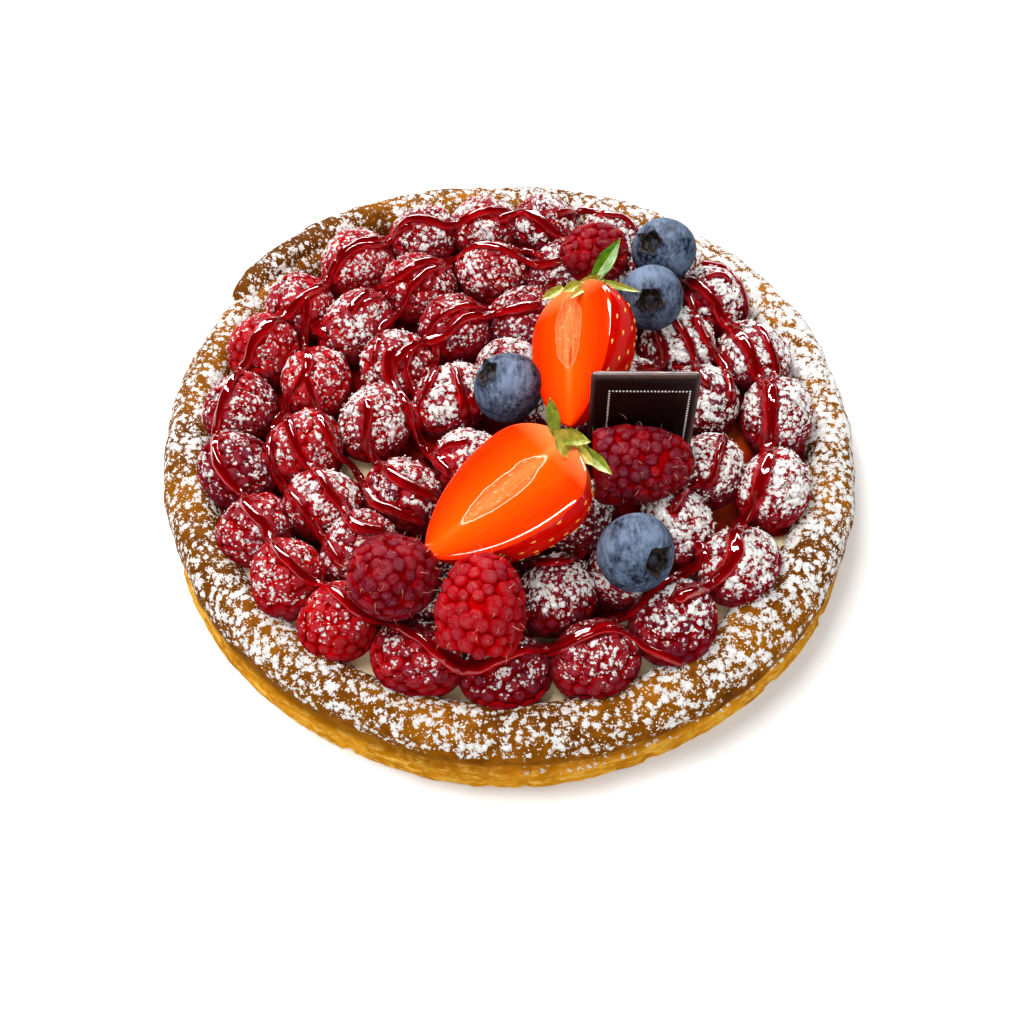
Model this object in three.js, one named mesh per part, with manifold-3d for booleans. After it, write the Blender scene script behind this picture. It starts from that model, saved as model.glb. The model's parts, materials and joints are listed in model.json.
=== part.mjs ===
// A round berry custard tart, about 200 mm across. Millimetres, +Z up, the origin under the middle
// of the underside; the side that faces the viewer in the usual picture is -Y.
//
// A thin flat bottom sheet of pastry carries a thick rope of dough, whose end laps over its start
// at the back left. Custard fills the shell. Raspberries stand on the custard in rings, and whole
// and halved fruit and a square chocolate plaque lie on top of them.
import * as THREE from 'three';
import { mergeVertices } from 'three/addons/utils/BufferGeometryUtils.js';
import Module from 'manifold-3d';

const wasm = await Module();
wasm.setup();

const GAP = 0.3; // left between pieces that touch
const DEG = Math.PI / 180;

// The bottom sheet and the rope of dough, for the middle of the tart's slightly oval outline.
const SHEET_RADIUS = 100.5;
const SHEET_THICKNESS = 3.6;
const ROPE_RADIUS = 92.6; // of the rope's middle line
const ROPE_HALF_WIDTH = 7.2;
const ROPE_HALF_HEIGHT = 8.3;
const ROPE_MIDDLE_HEIGHT = 11.9;
const WALL_RADIUS = 85.4; // inner wall of the shell, up to the rope's middle height
const CRUST_STEPS = 84;
const OVALNESS = 0.017; // deeper than wide by twice this part
const ROPE_SHIFT_Y = -1.4; // the rope was laid a little toward the viewer on its sheet

// Where the rope's end lies on its start: the end climbs, then stops in a rounded nose.
const LAP_CLIMB_FROM = 104;
const LAP_NOSE_AT = 152;
const LAP_NOSE_LENGTH = 7;
const LAP_LIFT = 4.6;
const LAP_OUTWARD = 1.2;

const CUSTARD_LEVEL = 14;
const CUSTARD_STEPS = 48;

// The rings of raspberries, from the rim inward: each ring's radius, half its width and the
// angles at which its berries stand. The rings are centred a little toward the viewer.
const RING_SHIFT_X = -0.6;
const RING_SHIFT_Y = -3;
const RINGS = [
  {
    name: 'a',
    radius: 77,
    halfWidth: 9.3,
    angles: [177, 161, 146, 128, 111, 96, 81, 66, 51, 36, 19, 1, -17, -37, -56, -73,
      -90, -107, -124, -138, -152, -167],
  },
  {
    name: 'b',
    radius: 57.7,
    halfWidth: 9.5,
    angles: [190, 166, 143, 119, 95, 73, 51, 29, 8, -17, -38, -57, -77, -106, -133, -151],
  },
  { name: 'c', radius: 38.1, halfWidth: 9.5, angles: [181, 149, 115, 83, -60, -138] },
  { name: 'd', radius: 18.6, halfWidth: 9.4, angles: [155, -122] },
];
const BERRY_HEIGHT = 17.2; // above the custard that the foot is pressed into
const PRESSED_DOWN = { raspberry_a17: 0.74, raspberry_b12: 0.92 }; // part of the height left
const BERRY_WIDEST = 10.6; // half the width of a berry with room to spare
const BERRY_CLEARANCE = 0.35;

// The raspberries under and just left of the upper strawberry and the plaque, pressed together
// into one heap: where each stands, and its radius.
const HEAP_SPOTS = [
  [23, 26.4, 11.2],
  [34, 8.6, 11.2],
  [33.2, -12.4, 11.2],
  [13.2, 3.8, 11.2],
  [-0.7, 16.4, 9.3],
];

// A raspberry's outline: how far up its height, and how much of its full radius there.
const BERRY_OUTLINE = [[0, 0.7], [0.14, 0.93], [0.36, 1], [0.6, 0.9], [0.8, 0.67], [0.94, 0.35]];

// Toppings, by the middle of each.
const TOP_RASPBERRIES = [
  { at: [22.9, 45, 39.4], radius: 9.8, height: 19.5, tilt: 62, turn: 205 },
  { at: [34.9, -29.9, 37.2], radius: 10.1, height: 26.5, tilt: 90, turn: 4 },
  { at: [-28.6, -66.4, 41], radius: 10.8, height: 22, tilt: 24, turn: 250 },
  { at: [-6.3, -73.1, 40.1], radius: 10.9, height: 24.5, tilt: 48, turn: 80 },
];
const BLUEBERRIES = [
  { at: [-1.6, -0.1, 32.3], radius: 9.5, tilt: 40, turn: 185 },
  { at: [40, 29.3, 37.4], radius: 9.3, tilt: 50, turn: 260 },
  { at: [44.8, 48.4, 37.3], radius: 9.6, tilt: 42, turn: 215 },
  { at: [31.2, -57.9, 38.3], radius: 9.9, tilt: 56, turn: 310 },
];
const CROWN_RADIUS = 3.4;
const CROWN_DEPTH = 1.6;
const STRAWBERRIES = [
  { at: [21.9, 1.8, 40.5], length: 42, width: 31.8, depth: 20, yaw: -90, pitch: 15, roll: 50 },
  { at: [0, -45.7, 37.3], length: 46, width: 38, depth: 19, yaw: -143, pitch: 17, roll: 18 },
];
// A halved strawberry's outline from its leafy end to its tip, as parts of length and half width.
const STRAWBERRY_OUTLINE = [
  [0.02, 0.5], [0.08, 0.78], [0.2, 0.97], [0.34, 1], [0.5, 0.91], [0.66, 0.72], [0.82, 0.46],
  [0.94, 0.22],
];

const PLAQUE = { at: [34.6, -17.2, 42.4], width: 28, height: 30, thickness: 3, lean: 4 };
const PLAQUE_BEVEL = 1;

const FINISHES = {
  crust: { color: 0x9a5a22, roughness: 0.7 },
  custard: { color: 0xe9d9a8, roughness: 0.4 },
  raspberry: { color: 0x8c0a1c, roughness: 0.45 },
  strawberry: { color: 0xe8380c, roughness: 0.3 },
  blueberry: { color: 0x33415f, roughness: 0.6 },
  chocolate: { color: 0x2a1512, roughness: 0.35 },
};

const tart = new THREE.Group();

function addPiece(name, geometry, finish) {
  const material = new THREE.MeshStandardMaterial({ ...FINISHES[finish], metalness: 0 });
  const mesh = new THREE.Mesh(geometry, material);
  mesh.name = name;
  tart.add(mesh);
  return mesh;
}

// A closed skin over stacked rings of points, with one point at each end. pointAt(row, step)
// gives a ring's points counter-clockwise as seen from the last row's end.
function stackedRings(rows, steps, firstPoint, lastPoint, pointAt) {
  const positions = [...firstPoint];
  const faces = [];
  for (let row = 0; row < rows; row += 1) {
    for (let step = 0; step < steps; step += 1) {
      positions.push(...pointAt(row, step));
    }
  }
  positions.push(...lastPoint);
  const last = rows * steps + 1;
  const at = (row, step) => 1 + row * steps + (step % steps);
  for (let step = 0; step < steps; step += 1) {
    faces.push(0, at(0, step + 1), at(0, step));
    faces.push(last, at(rows - 1, step), at(rows - 1, step + 1));
    for (let row = 0; row + 1 < rows; row += 1) {
      faces.push(at(row, step), at(row, step + 1), at(row + 1, step + 1));
      faces.push(at(row, step), at(row + 1, step + 1), at(row + 1, step));
    }
  }
  const geometry = new THREE.BufferGeometry();
  geometry.setAttribute('position', new THREE.Float32BufferAttribute(positions, 3));
  geometry.setIndex(faces);
  return geometry;
}

// A place in the tart's plan, in polar form: the outline is a little deeper than it is wide.
function planPoint(radius, angle) {
  const x = radius * Math.cos(angle) * (1 - OVALNESS);
  const y = radius * Math.sin(angle) * (1 + OVALNESS);
  return [x, y];
}

function smoothStep(from, to, value) {
  return THREE.MathUtils.smoothstep(value, from, to);
}

// How far the rope has climbed onto its own start, 0 to 1, at an angle in degrees.
function lapClimb(degrees) {
  const climb = smoothStep(LAP_CLIMB_FROM, LAP_NOSE_AT - LAP_NOSE_LENGTH, degrees);
  const nose = smoothStep(LAP_NOSE_AT - LAP_NOSE_LENGTH / 3, LAP_NOSE_AT + LAP_NOSE_LENGTH / 2, degrees);
  return climb * (1 - nose);
}

// The hand-rolled rope is never quite even.
function ropeUnevenness(angle) {
  return 0.45 * Math.sin(3 * angle + 1) + 0.3 * Math.sin(8 * angle + 2);
}

const SHEET_ROWS = 3; // how many rows of the section belong to the sheet's edge

// The sheet's edge, the groove above it, the rope's round and the inner wall, as [radius, height].
function crustSection(angle) {
  const climb = lapClimb(angle / DEG);
  const uneven = ropeUnevenness(angle);
  const middle = ROPE_RADIUS + LAP_OUTWARD * climb + 0.4 * uneven;
  const section = [
    [SHEET_RADIUS - 0.8, 0],
    [SHEET_RADIUS, 0.8],
    [SHEET_RADIUS - 0.4, SHEET_THICKNESS],
    [ROPE_RADIUS + ROPE_HALF_WIDTH * 0.62, SHEET_THICKNESS + 0.8],
  ];
  for (const around of [-32, 2, 34, 66, 98, 130, 160]) {
    const outward = ROPE_HALF_WIDTH * Math.cos(around * DEG);
    const upward = ROPE_HALF_HEIGHT * Math.sin(around * DEG);
    const lift = upward > 0 ? LAP_LIFT * climb + uneven : LAP_LIFT * climb * 0.5;
    section.push([middle + outward, ROPE_MIDDLE_HEIGHT + upward + lift]);
  }
  section.push([WALL_RADIUS, ROPE_MIDDLE_HEIGHT]);
  section.push([WALL_RADIUS, SHEET_THICKNESS]);
  return section;
}

function makeCrust() {
  const rows = crustSection(0).length;
  const pointAt = (row, step) => {
    const angle = (step / CRUST_STEPS) * 2 * Math.PI;
    const [radius, height] = crustSection(angle)[row];
    const [x, y] = planPoint(radius, angle);
    return [x, row < SHEET_ROWS ? y : y + ROPE_SHIFT_Y, height];
  };
  const geometry = stackedRings(rows, CRUST_STEPS, [0, 0, 0], [0, 0, SHEET_THICKNESS], pointAt);
  addPiece('crust', geometry, 'crust');
}

function makeCustard() {
  const radius = WALL_RADIUS - 2 * GAP;
  const section = [
    [radius, SHEET_THICKNESS + GAP],
    [radius, CUSTARD_LEVEL - 0.6],
    [radius - 1.5, CUSTARD_LEVEL],
  ];
  const pointAt = (row, step) => {
    const angle = (step / CUSTARD_STEPS) * 2 * Math.PI;
    const [x, y] = planPoint(section[row][0], angle);
    return [x, y + ROPE_SHIFT_Y, section[row][1]];
  };
  const foot = [0, 0, SHEET_THICKNESS + GAP];
  const top = [0, 0, CUSTARD_LEVEL];
  addPiece('custard', stackedRings(section.length, CUSTARD_STEPS, foot, top, pointAt), 'custard');
}

// A raspberry standing on its open end, tip up, with its foot at height 0. Its half widths may
// differ, and above its widest place it leans by leanX and leanY of its height.
function raspberryShape(halfX, halfY, height, steps, leanX = 0, leanY = 0) {
  const widestAt = BERRY_OUTLINE[2][0];
  const pointAt = (row, step) => {
    const [up, part] = BERRY_OUTLINE[row];
    const angle = ((step + (row % 2) / 2) / steps) * 2 * Math.PI;
    const lean = Math.max(0, up - widestAt) * height;
    return [
      halfX * part * Math.cos(angle) + leanX * lean,
      halfY * part * Math.sin(angle) + leanY * lean,
      up * height,
    ];
  };
  const tipLean = (1 - widestAt) * height;
  const tip = [leanX * tipLean, leanY * tipLean, height];
  return stackedRings(BERRY_OUTLINE.length, steps, [0, 0, 0], tip, pointAt);
}

// One berry of a ring fills the stretch up to halfway to each neighbour.
function ringBerry(ring, index, serial) {
  const count = ring.angles.length;
  const here = ring.angles[index];
  const turnTo = (other) => Math.abs(((other - here + 540) % 360) - 180);
  const room = [ring.angles[(index + 1) % count], ring.angles[(index + count - 1) % count]].map(
    (other) => ring.radius * Math.sin((turnTo(other) / 2) * DEG) - BERRY_CLEARANCE,
  );
  const alongRing = Math.min(...room, BERRY_WIDEST);
  const name = `raspberry_${ring.name}${String(index + 1).padStart(2, '0')}`;
  const height = (BERRY_HEIGHT + 1.1 * Math.sin(serial * 2.4)) * (PRESSED_DOWN[name] ?? 1);
  const geometry = raspberryShape(
    ring.halfWidth - 0.25 * (1 + Math.sin(serial * 1.7)),
    alongRing,
    height,
    9,
    0.12 * Math.sin(serial * 3.1),
    0.12 * Math.cos(serial * 2.2),
  );
  const mesh = addPiece(name, geometry, 'raspberry');
  const [x, y] = planPoint(ring.radius, here * DEG);
  mesh.position.set(x + RING_SHIFT_X, y + RING_SHIFT_Y, CUSTARD_LEVEL + GAP);
  mesh.rotation.z = here * DEG;
}

function makeRings() {
  let serial = 0;
  for (const ring of RINGS) {
    for (let index = 0; index < ring.angles.length; index += 1) {
      ringBerry(ring, index, serial);
      serial += 1;
    }
  }
}

function solidOf(geometry) {
  const plain = mergeVertices(geometry);
  const vertProperties = new Float32Array(plain.attributes.position.array);
  const triVerts = new Uint32Array(plain.index.array);
  return new wasm.Manifold(new wasm.Mesh({ numProp: 3, vertProperties, triVerts }));
}

function geometryOf(solid) {
  const mesh = solid.getMesh();
  const geometry = new THREE.BufferGeometry();
  geometry.setAttribute('position', new THREE.Float32BufferAttribute(mesh.vertProperties, 3));
  geometry.setIndex([...mesh.triVerts]);
  return geometry;
}

function makeHeap() {
  const berries = HEAP_SPOTS.map(([x, y, radius], index) => {
    const height = BERRY_HEIGHT + Math.sin(index * 2.4) - 1.6;
    const berry = raspberryShape(radius, radius, height, 10);
    berry.translate(x, y, CUSTARD_LEVEL + GAP);
    return solidOf(berry);
  });
  const heap = berries.reduce((whole, berry) => whole.add(berry));
  addPiece('raspberries_under', geometryOf(heap), 'raspberry');
}

// Stands a shape's own +Z toward the angle "turn" in plan, "tilt" degrees from upright.
function aim(mesh, spot) {
  mesh.rotation.order = 'ZYX';
  mesh.rotation.set(0, spot.tilt * DEG, spot.turn * DEG);
  mesh.position.set(...spot.at);
}

function makeTopRaspberries() {
  TOP_RASPBERRIES.forEach((berry, index) => {
    const geometry = raspberryShape(berry.radius, berry.radius, berry.height, 11);
    geometry.translate(0, 0, -berry.height / 2);
    aim(addPiece(`raspberry_top_${index + 1}`, geometry, 'raspberry'), berry);
  });
}

// A blueberry is a little flattened, with a ring-shaped crown round a shallow dish at its top.
function blueberryGeometry(radius) {
  const dishHeight = radius * 0.86 - CROWN_DEPTH;
  const rows = [];
  for (const down of [160, 132, 104, 76, 50, 32]) {
    rows.push([radius * Math.sin(down * DEG), radius * 0.93 * Math.cos(down * DEG)]);
  }
  rows.push([CROWN_RADIUS, radius * 0.95], [CROWN_RADIUS * 0.72, dishHeight]);
  const steps = 12;
  const pointAt = (row, step) => {
    const angle = (step / steps) * 2 * Math.PI;
    return [rows[row][0] * Math.cos(angle), rows[row][0] * Math.sin(angle), rows[row][1]];
  };
  const foot = [0, 0, -radius * 0.93];
  return stackedRings(rows.length, steps, foot, [0, 0, dishHeight], pointAt);
}

function makeBlueberries() {
  BLUEBERRIES.forEach((berry, index) => {
    aim(addPiece(`blueberry_${index + 1}`, blueberryGeometry(berry.radius), 'blueberry'), berry);
  });
}

// A strawberry cut in half lengthways: flat face up (+Z), rounded back below, its leafy end at
// -X and its tip at +X.
function strawberryGeometry({ length, width, depth }) {
  const flatSteps = 4;
  const roundSteps = 9;
  const steps = flatSteps + roundSteps;
  const pointAt = (row, step) => {
    const [along, part] = STRAWBERRY_OUTLINE[row];
    const halfWidth = (width / 2) * part;
    const x = (along - 0.5) * length;
    if (step < flatSteps) {
      return [x, halfWidth * (1 - (2 * step) / flatSteps), depth * 0.4];
    }
    const around = ((step - flatSteps) / roundSteps) * Math.PI;
    return [x, -halfWidth * Math.cos(around), depth * (0.4 - part * Math.sin(around))];
  };
  const leafyEnd = [-length / 2, 0, depth * 0.2];
  const tip = [length / 2, 0, depth * 0.3];
  return stackedRings(STRAWBERRY_OUTLINE.length, steps, leafyEnd, tip, pointAt);
}

function makeStrawberries() {
  STRAWBERRIES.forEach((berry, index) => {
    const mesh = addPiece(`strawberry_half_${index + 1}`, strawberryGeometry(berry), 'strawberry');
    mesh.rotation.order = 'ZYX';
    mesh.rotation.set(berry.roll * DEG, berry.pitch * DEG, berry.yaw * DEG);
    mesh.position.set(...berry.at);
  });
}

function makePlaque() {
  const outline = new THREE.Shape();
  const halfWidth = PLAQUE.width / 2 - PLAQUE_BEVEL;
  const halfHeight = PLAQUE.height / 2 - PLAQUE_BEVEL;
  outline.moveTo(-halfWidth, -halfHeight);
  outline.lineTo(halfWidth, -halfHeight);
  outline.lineTo(halfWidth, halfHeight);
  outline.lineTo(-halfWidth, halfHeight);
  const geometry = new THREE.ExtrudeGeometry(outline, {
    depth: PLAQUE.thickness - 2 * PLAQUE_BEVEL,
    bevelThickness: PLAQUE_BEVEL,
    bevelSize: PLAQUE_BEVEL,
    bevelSegments: 1,
  });
  geometry.translate(0, 0, PLAQUE_BEVEL - PLAQUE.thickness / 2);
  const mesh = addPiece('chocolate_plaque', geometry, 'chocolate');
  mesh.rotation.x = (90 - PLAQUE.lean) * DEG;
  mesh.position.set(...PLAQUE.at);
}

makeCrust();
makeCustard();
makeRings();
makeHeap();
makeTopRaspberries();
makeBlueberries();
makeStrawberries();
makePlaque();

export default tart;
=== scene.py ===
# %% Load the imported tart
import json

import bpy
import numpy as np
from mathutils import Matrix, Vector

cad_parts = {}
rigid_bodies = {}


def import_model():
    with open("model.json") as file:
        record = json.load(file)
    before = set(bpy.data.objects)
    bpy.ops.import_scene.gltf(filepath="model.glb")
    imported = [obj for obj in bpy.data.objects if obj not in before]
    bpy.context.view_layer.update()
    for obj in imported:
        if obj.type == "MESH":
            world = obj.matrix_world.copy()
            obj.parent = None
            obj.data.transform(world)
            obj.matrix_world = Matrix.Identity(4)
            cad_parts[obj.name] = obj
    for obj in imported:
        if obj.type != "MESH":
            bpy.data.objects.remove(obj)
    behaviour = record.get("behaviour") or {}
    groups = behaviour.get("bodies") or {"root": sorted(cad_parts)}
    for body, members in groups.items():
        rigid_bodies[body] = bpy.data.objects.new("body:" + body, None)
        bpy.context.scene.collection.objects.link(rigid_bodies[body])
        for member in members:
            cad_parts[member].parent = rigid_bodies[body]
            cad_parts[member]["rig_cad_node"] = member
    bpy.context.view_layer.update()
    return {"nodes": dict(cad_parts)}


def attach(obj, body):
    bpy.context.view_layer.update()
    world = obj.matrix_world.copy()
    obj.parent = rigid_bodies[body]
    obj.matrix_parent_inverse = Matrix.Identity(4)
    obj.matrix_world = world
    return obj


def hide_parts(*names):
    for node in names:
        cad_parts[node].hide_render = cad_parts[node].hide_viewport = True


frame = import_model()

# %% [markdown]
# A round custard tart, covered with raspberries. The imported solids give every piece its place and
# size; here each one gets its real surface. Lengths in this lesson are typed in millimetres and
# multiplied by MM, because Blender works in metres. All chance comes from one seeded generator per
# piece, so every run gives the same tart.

MM = 0.001


def chance(seed):
    return np.random.default_rng(seed)


# %% [markdown]
# The camera comes first, because the trails of sauce are placed through it later. It looks down
# at about 55 degrees from the viewer's side. A camera could be aimed with a constraint; here its
# three axes are worked out directly, which keeps it exact: "back" points from the tart to the
# camera, "right" is level, and a roll of a third of a degree turns both about the view.

# %% Camera
ELEVATION, ROLL = np.radians(55.3), np.radians(0.3)
LOOK_AT = np.array([0.7, -26.3, 10.0]) * MM
LENS_MM, SENSOR_MM, PICTURE = 45.7, 36.0, 1024

back = np.array([0, -np.cos(ELEVATION), np.sin(ELEVATION)])
level = np.array([1.0, 0, 0])
upright = np.cross(back, level)
cam_right = np.cos(ROLL) * level + np.sin(ROLL) * upright
cam_up = np.cos(ROLL) * upright - np.sin(ROLL) * level
cam_place = LOOK_AT + 361.6 * MM * back

camera = bpy.data.objects.new("camera", bpy.data.cameras.new("camera"))
bpy.context.scene.collection.objects.link(camera)
camera.data.lens = LENS_MM
camera.data.sensor_width = SENSOR_MM
camera.data.clip_start = 0.01
turned = Matrix(np.column_stack([cam_right, cam_up, back]).tolist()).to_4x4()
camera.matrix_world = Matrix.Translation(cam_place.tolist()) @ turned
bpy.context.scene.camera = camera
print("camera at, mm:", np.round(cam_place / MM, 1))


def pixel_rays(pixels):
    """Directions of the sight lines through picture pixels: right and up in proportion to the
    distance from the middle of the picture, forward by the lens."""
    offset = (np.asarray(pixels, float) - PICTURE / 2) * SENSOR_MM / PICTURE / LENS_MM
    rays = offset[:, :1] * cam_right - offset[:, 1:] * cam_up - back
    return rays / np.linalg.norm(rays, axis=1, keepdims=True)


# %% [markdown]
# Light: one big soft window above and to the left, weaker ones from behind, the right and the
# front, and a pale sky all round. A sun lamp would be simpler, but food photographed on a counter
# has soft shadows, which only large area lamps give. Large lamps also mirror as wide pale patches,
# which would veil dark fruit, so they and the sky are hidden from reflections. Two long narrow
# tubes do the opposite: they light nothing and are only mirrored, as thin white lines along wet
# sauce and glaze. One runs away from the viewer and one across, so trails in any direction catch
# one.

# %% Lights
def area_lamp(name, place, size, watts, tint):
    lamp = bpy.data.objects.new(name, bpy.data.lights.new(name, "AREA"))
    lamp.visible_glossy = False
    lamp.data.size = size
    lamp.data.energy = watts
    lamp.data.color = tint
    bpy.context.scene.collection.objects.link(lamp)
    lamp.location = place
    aim = Vector((0, 0, 0.02)) - Vector(place)
    lamp.rotation_euler = aim.to_track_quat("-Z", "Y").to_euler()
    return lamp


def mirrored_tube(name, place, length, width, watts):
    """A lamp as long as length along its own X or Y, whichever is larger, seen only in
    reflections."""
    tube = area_lamp(name, place, length, watts, (1, 1, 1))
    tube.data.shape = "RECTANGLE"
    tube.data.size_y = width
    tube.visible_glossy = True
    tube.visible_diffuse = False


area_lamp("window lamp", (-0.27, 0.12, 0.78), 0.40, 5.2, (1, 0.985, 0.96))
area_lamp("back lamp", (-0.33, 0.60, 0.42), 0.32, 3.4, (1, 1, 1))
area_lamp("side lamp", (0.55, 0.10, 0.50), 0.28, 0.9, (1, 0.99, 0.97))
area_lamp("front lamp", (-0.05, -0.62, 0.50), 0.5, 2.6, (1, 1, 1))
mirrored_tube("tube across", (-0.05, 0.55, 0.42), 1.1, 0.09, 20.0)
mirrored_tube("tube away", (-0.22, 0.12, 0.70), 0.08, 1.0, 16.0)
world = bpy.data.worlds.new("pale sky")
bpy.context.scene.world = world
world.use_nodes = True
world.node_tree.nodes["Background"].inputs["Color"].default_value = (0.95, 0.97, 1, 1)
world.node_tree.nodes["Background"].inputs["Strength"].default_value = 0.15
world.cycles_visibility.glossy = False
bpy.context.scene.view_settings.view_transform = "Standard"
bpy.context.scene.view_settings.look = "Medium High Contrast"
print("lamps:", [lamp.name for lamp in bpy.data.lights])

# %% [markdown]
# Two helpers carry all the shapes. A piece is a grid of points: rows along one parameter and
# columns along the other. Quads join neighbouring points, and a fan of triangles can close each
# end at a pole. Blender could also make grids with its own primitives, but points worked out in
# numpy can follow any formula.

# %% Meshes from grids
def grid_faces(rows, columns, wrap=True, first=0):
    """Quads of a grid whose rows have that many columns. With wrap, the last column joins the
    first."""
    row = np.arange(rows - 1)[:, None] * columns
    column = np.arange(columns if wrap else columns - 1)[None, :]
    beside = (column + 1) % columns
    corners = [row + column, row + beside, row + columns + beside, row + columns + column]
    return np.stack(corners, -1).reshape(-1, 4) + first


def fan_faces(pole, ring, flip):
    """Triangles from a pole to each side of a closed ring of points."""
    beside = np.roll(ring, -1)
    corners = [np.full(len(ring), pole), beside, ring] if flip else [
        np.full(len(ring), pole), ring, beside]
    return np.stack(corners, -1)


def closed_grid(grid, low_pole, high_pole):
    """Points and faces of rings (rows, columns, 3) closed by a pole below the first ring and one
    above the last. Rings run counter-clockwise seen from the high pole."""
    rows, columns = grid.shape[:2]
    points = np.concatenate([grid.reshape(-1, 3), [low_pole], [high_pole]])
    ring = np.arange(columns)
    quads = grid_faces(rows, columns)
    low = fan_faces(rows * columns, ring, True)
    high = fan_faces(rows * columns + 1, ring + (rows - 1) * columns, False)
    return points, [quads, low, high]


def make_piece(name, points, faces, material, slot, smooth=True, **attributes):
    """A mesh piece in metres from points in millimetres. Extra arrays become attributes."""
    mesh = bpy.data.meshes.new(name)
    polygons = [polygon for part in faces for polygon in part.tolist()]
    mesh.from_pydata((np.asarray(points) * MM).tolist(), [], polygons)
    mesh.polygons.foreach_set("use_smooth", [smooth] * len(mesh.polygons))
    mesh.materials.append(material)
    for key, values in attributes.items():
        store = mesh.attributes.new(key, "FLOAT", "POINT")
        store.data.foreach_set("value", np.asarray(values, np.float32).ravel())
    mesh.update()
    piece = bpy.data.objects.new(name, mesh)
    bpy.context.scene.collection.objects.link(piece)
    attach(piece, "root")
    return piece


# %% [markdown]
# Materials are built from small node trees. The helper "add" makes a node, sets its plain values
# and links sockets in one line, which keeps each recipe short enough to read in one go.

# %% Nodes
def add(tree, kind, inputs=None, **settings):
    node = tree.nodes.new(kind)
    for key, value in settings.items():
        setattr(node, key, value)
    for key, value in (inputs or {}).items():
        if isinstance(value, bpy.types.NodeSocket):
            tree.links.new(value, node.inputs[key])
        else:
            node.inputs[key].default_value = value
    return node


def new_material(name, colour, roughness, **plain):
    """A material with one Principled shader; plain values go straight onto its sockets."""
    material = bpy.data.materials.new(name)
    material.use_nodes = True
    material.diffuse_color = (*colour, 1)
    shader = material.node_tree.nodes["Principled BSDF"]
    shader.inputs["Base Color"].default_value = (*colour, 1)
    shader.inputs["Roughness"].default_value = roughness
    for key, value in plain.items():
        shader.inputs[key.replace("_", " ")].default_value = value
    return material, material.node_tree, shader


def mixed(tree, factor, first, second):
    """A colour between two colours, each a socket or three numbers."""
    node = add(tree, "ShaderNodeMix", {0: factor}, data_type="RGBA")
    for slot, colour in ((6, first), (7, second)):
        if isinstance(colour, bpy.types.NodeSocket):
            tree.links.new(colour, node.inputs[slot])
        else:
            node.inputs[slot].default_value = (*colour, 1)
    return node.outputs[2]


def noise(tree, scale, detail=3.0, stretch=None, rough=0.5, vector=None):
    """A noise pattern in object space; stretch squeezes it along the three axes."""
    place = vector or add(tree, "ShaderNodeTexCoord").outputs["Object"]
    if stretch:
        place = add(tree, "ShaderNodeMapping", {"Vector": place, "Scale": stretch}).outputs[0]
    inputs = {"Vector": place, "Scale": scale, "Detail": detail, "Roughness": rough}
    return add(tree, "ShaderNodeTexNoise", inputs).outputs["Fac"]


def ramp(tree, value, low, high, to_low=0.0, to_high=1.0):
    """Maps low..high of a value to to_low..to_high, and holds it there outside."""
    inputs = {"Value": value, "From Min": low, "From Max": high, "To Min": to_low,
              "To Max": to_high}
    return add(tree, "ShaderNodeMapRange", inputs).outputs[0]


def maths(tree, operation, first, second=0.0):
    return add(tree, "ShaderNodeMath", {0: first, 1: second}, operation=operation).outputs[0]


def attribute(tree, name):
    return add(tree, "ShaderNodeAttribute", attribute_name=name).outputs["Fac"]


def bump(tree, height, distance_mm, strength=1.0, normal=None):
    inputs = {"Height": height, "Distance": distance_mm * MM, "Strength": strength}
    if normal:
        inputs["Normal"] = normal
    return add(tree, "ShaderNodeBump", inputs).outputs["Normal"]


# %% [markdown]
# Icing sugar was sieved over the tart before the sauce was trailed on. It lies as a broken white
# crust: lumps of about a millimetre with fruit or dough showing between them. One node group
# makes that pattern for every material that carries it. Each piece stores in its "sugar"
# attribute how thickly each point is covered, and the group turns that share into the cut-off of
# a noise, so that more cover gives wider lumps, not paler ones.

# %% Icing sugar group
def icing_group():
    tree = bpy.data.node_groups.new("icing sugar", "ShaderNodeTree")
    face = tree.interface
    lumps = face.new_socket("Lumps per metre", in_out="INPUT", socket_type="NodeSocketFloat")
    lumps.default_value = 400.0
    face.new_socket("Mask", in_out="OUTPUT", socket_type="NodeSocketFloat")
    face.new_socket("Height", in_out="OUTPUT", socket_type="NodeSocketFloat")
    enter = add(tree, "NodeGroupInput")
    cover = attribute(tree, "sugar")
    broad = noise(tree, maths(tree, "MULTIPLY", enter.outputs[0], 0.6), 2.0)
    fine_scale = maths(tree, "MULTIPLY", enter.outputs[0], 3.0)
    fine = noise(tree, fine_scale, 4.0, rough=0.68)
    place = add(tree, "ShaderNodeTexCoord").outputs["Object"]
    cells = add(tree, "ShaderNodeTexVoronoi", {"Vector": place, "Scale": enter.outputs[0]})
    round_lumps = maths(tree, "SUBTRACT", 1.0, cells.outputs["Distance"])
    both = maths(tree, "ADD", maths(tree, "MULTIPLY", broad, 0.34),
                 maths(tree, "MULTIPLY", fine, 0.42))
    both = maths(tree, "ADD", both, maths(tree, "MULTIPLY", round_lumps, 0.25))
    cut = ramp(tree, cover, 0.0, 1.0, 0.604, 0.404)
    above = maths(tree, "SUBTRACT", both, cut)
    mask = maths(tree, "MULTIPLY", ramp(tree, above, 0.0, 0.014), ramp(tree, cover, 0.02, 0.12))
    height = maths(tree, "MULTIPLY", ramp(tree, above, 0.0, 0.11), ramp(tree, cover, 0.02, 0.12))
    leave = add(tree, "NodeGroupOutput")
    tree.links.new(mask, leave.inputs["Mask"])
    tree.links.new(height, leave.inputs["Height"])
    return tree


ICING = icing_group()
ICING_WHITE = (0.94, 0.915, 0.89)
# painted light: the sugar's own faint glow keeps its shaded side pale
ICING_PAINTED_GLOW = 0.14


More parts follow.
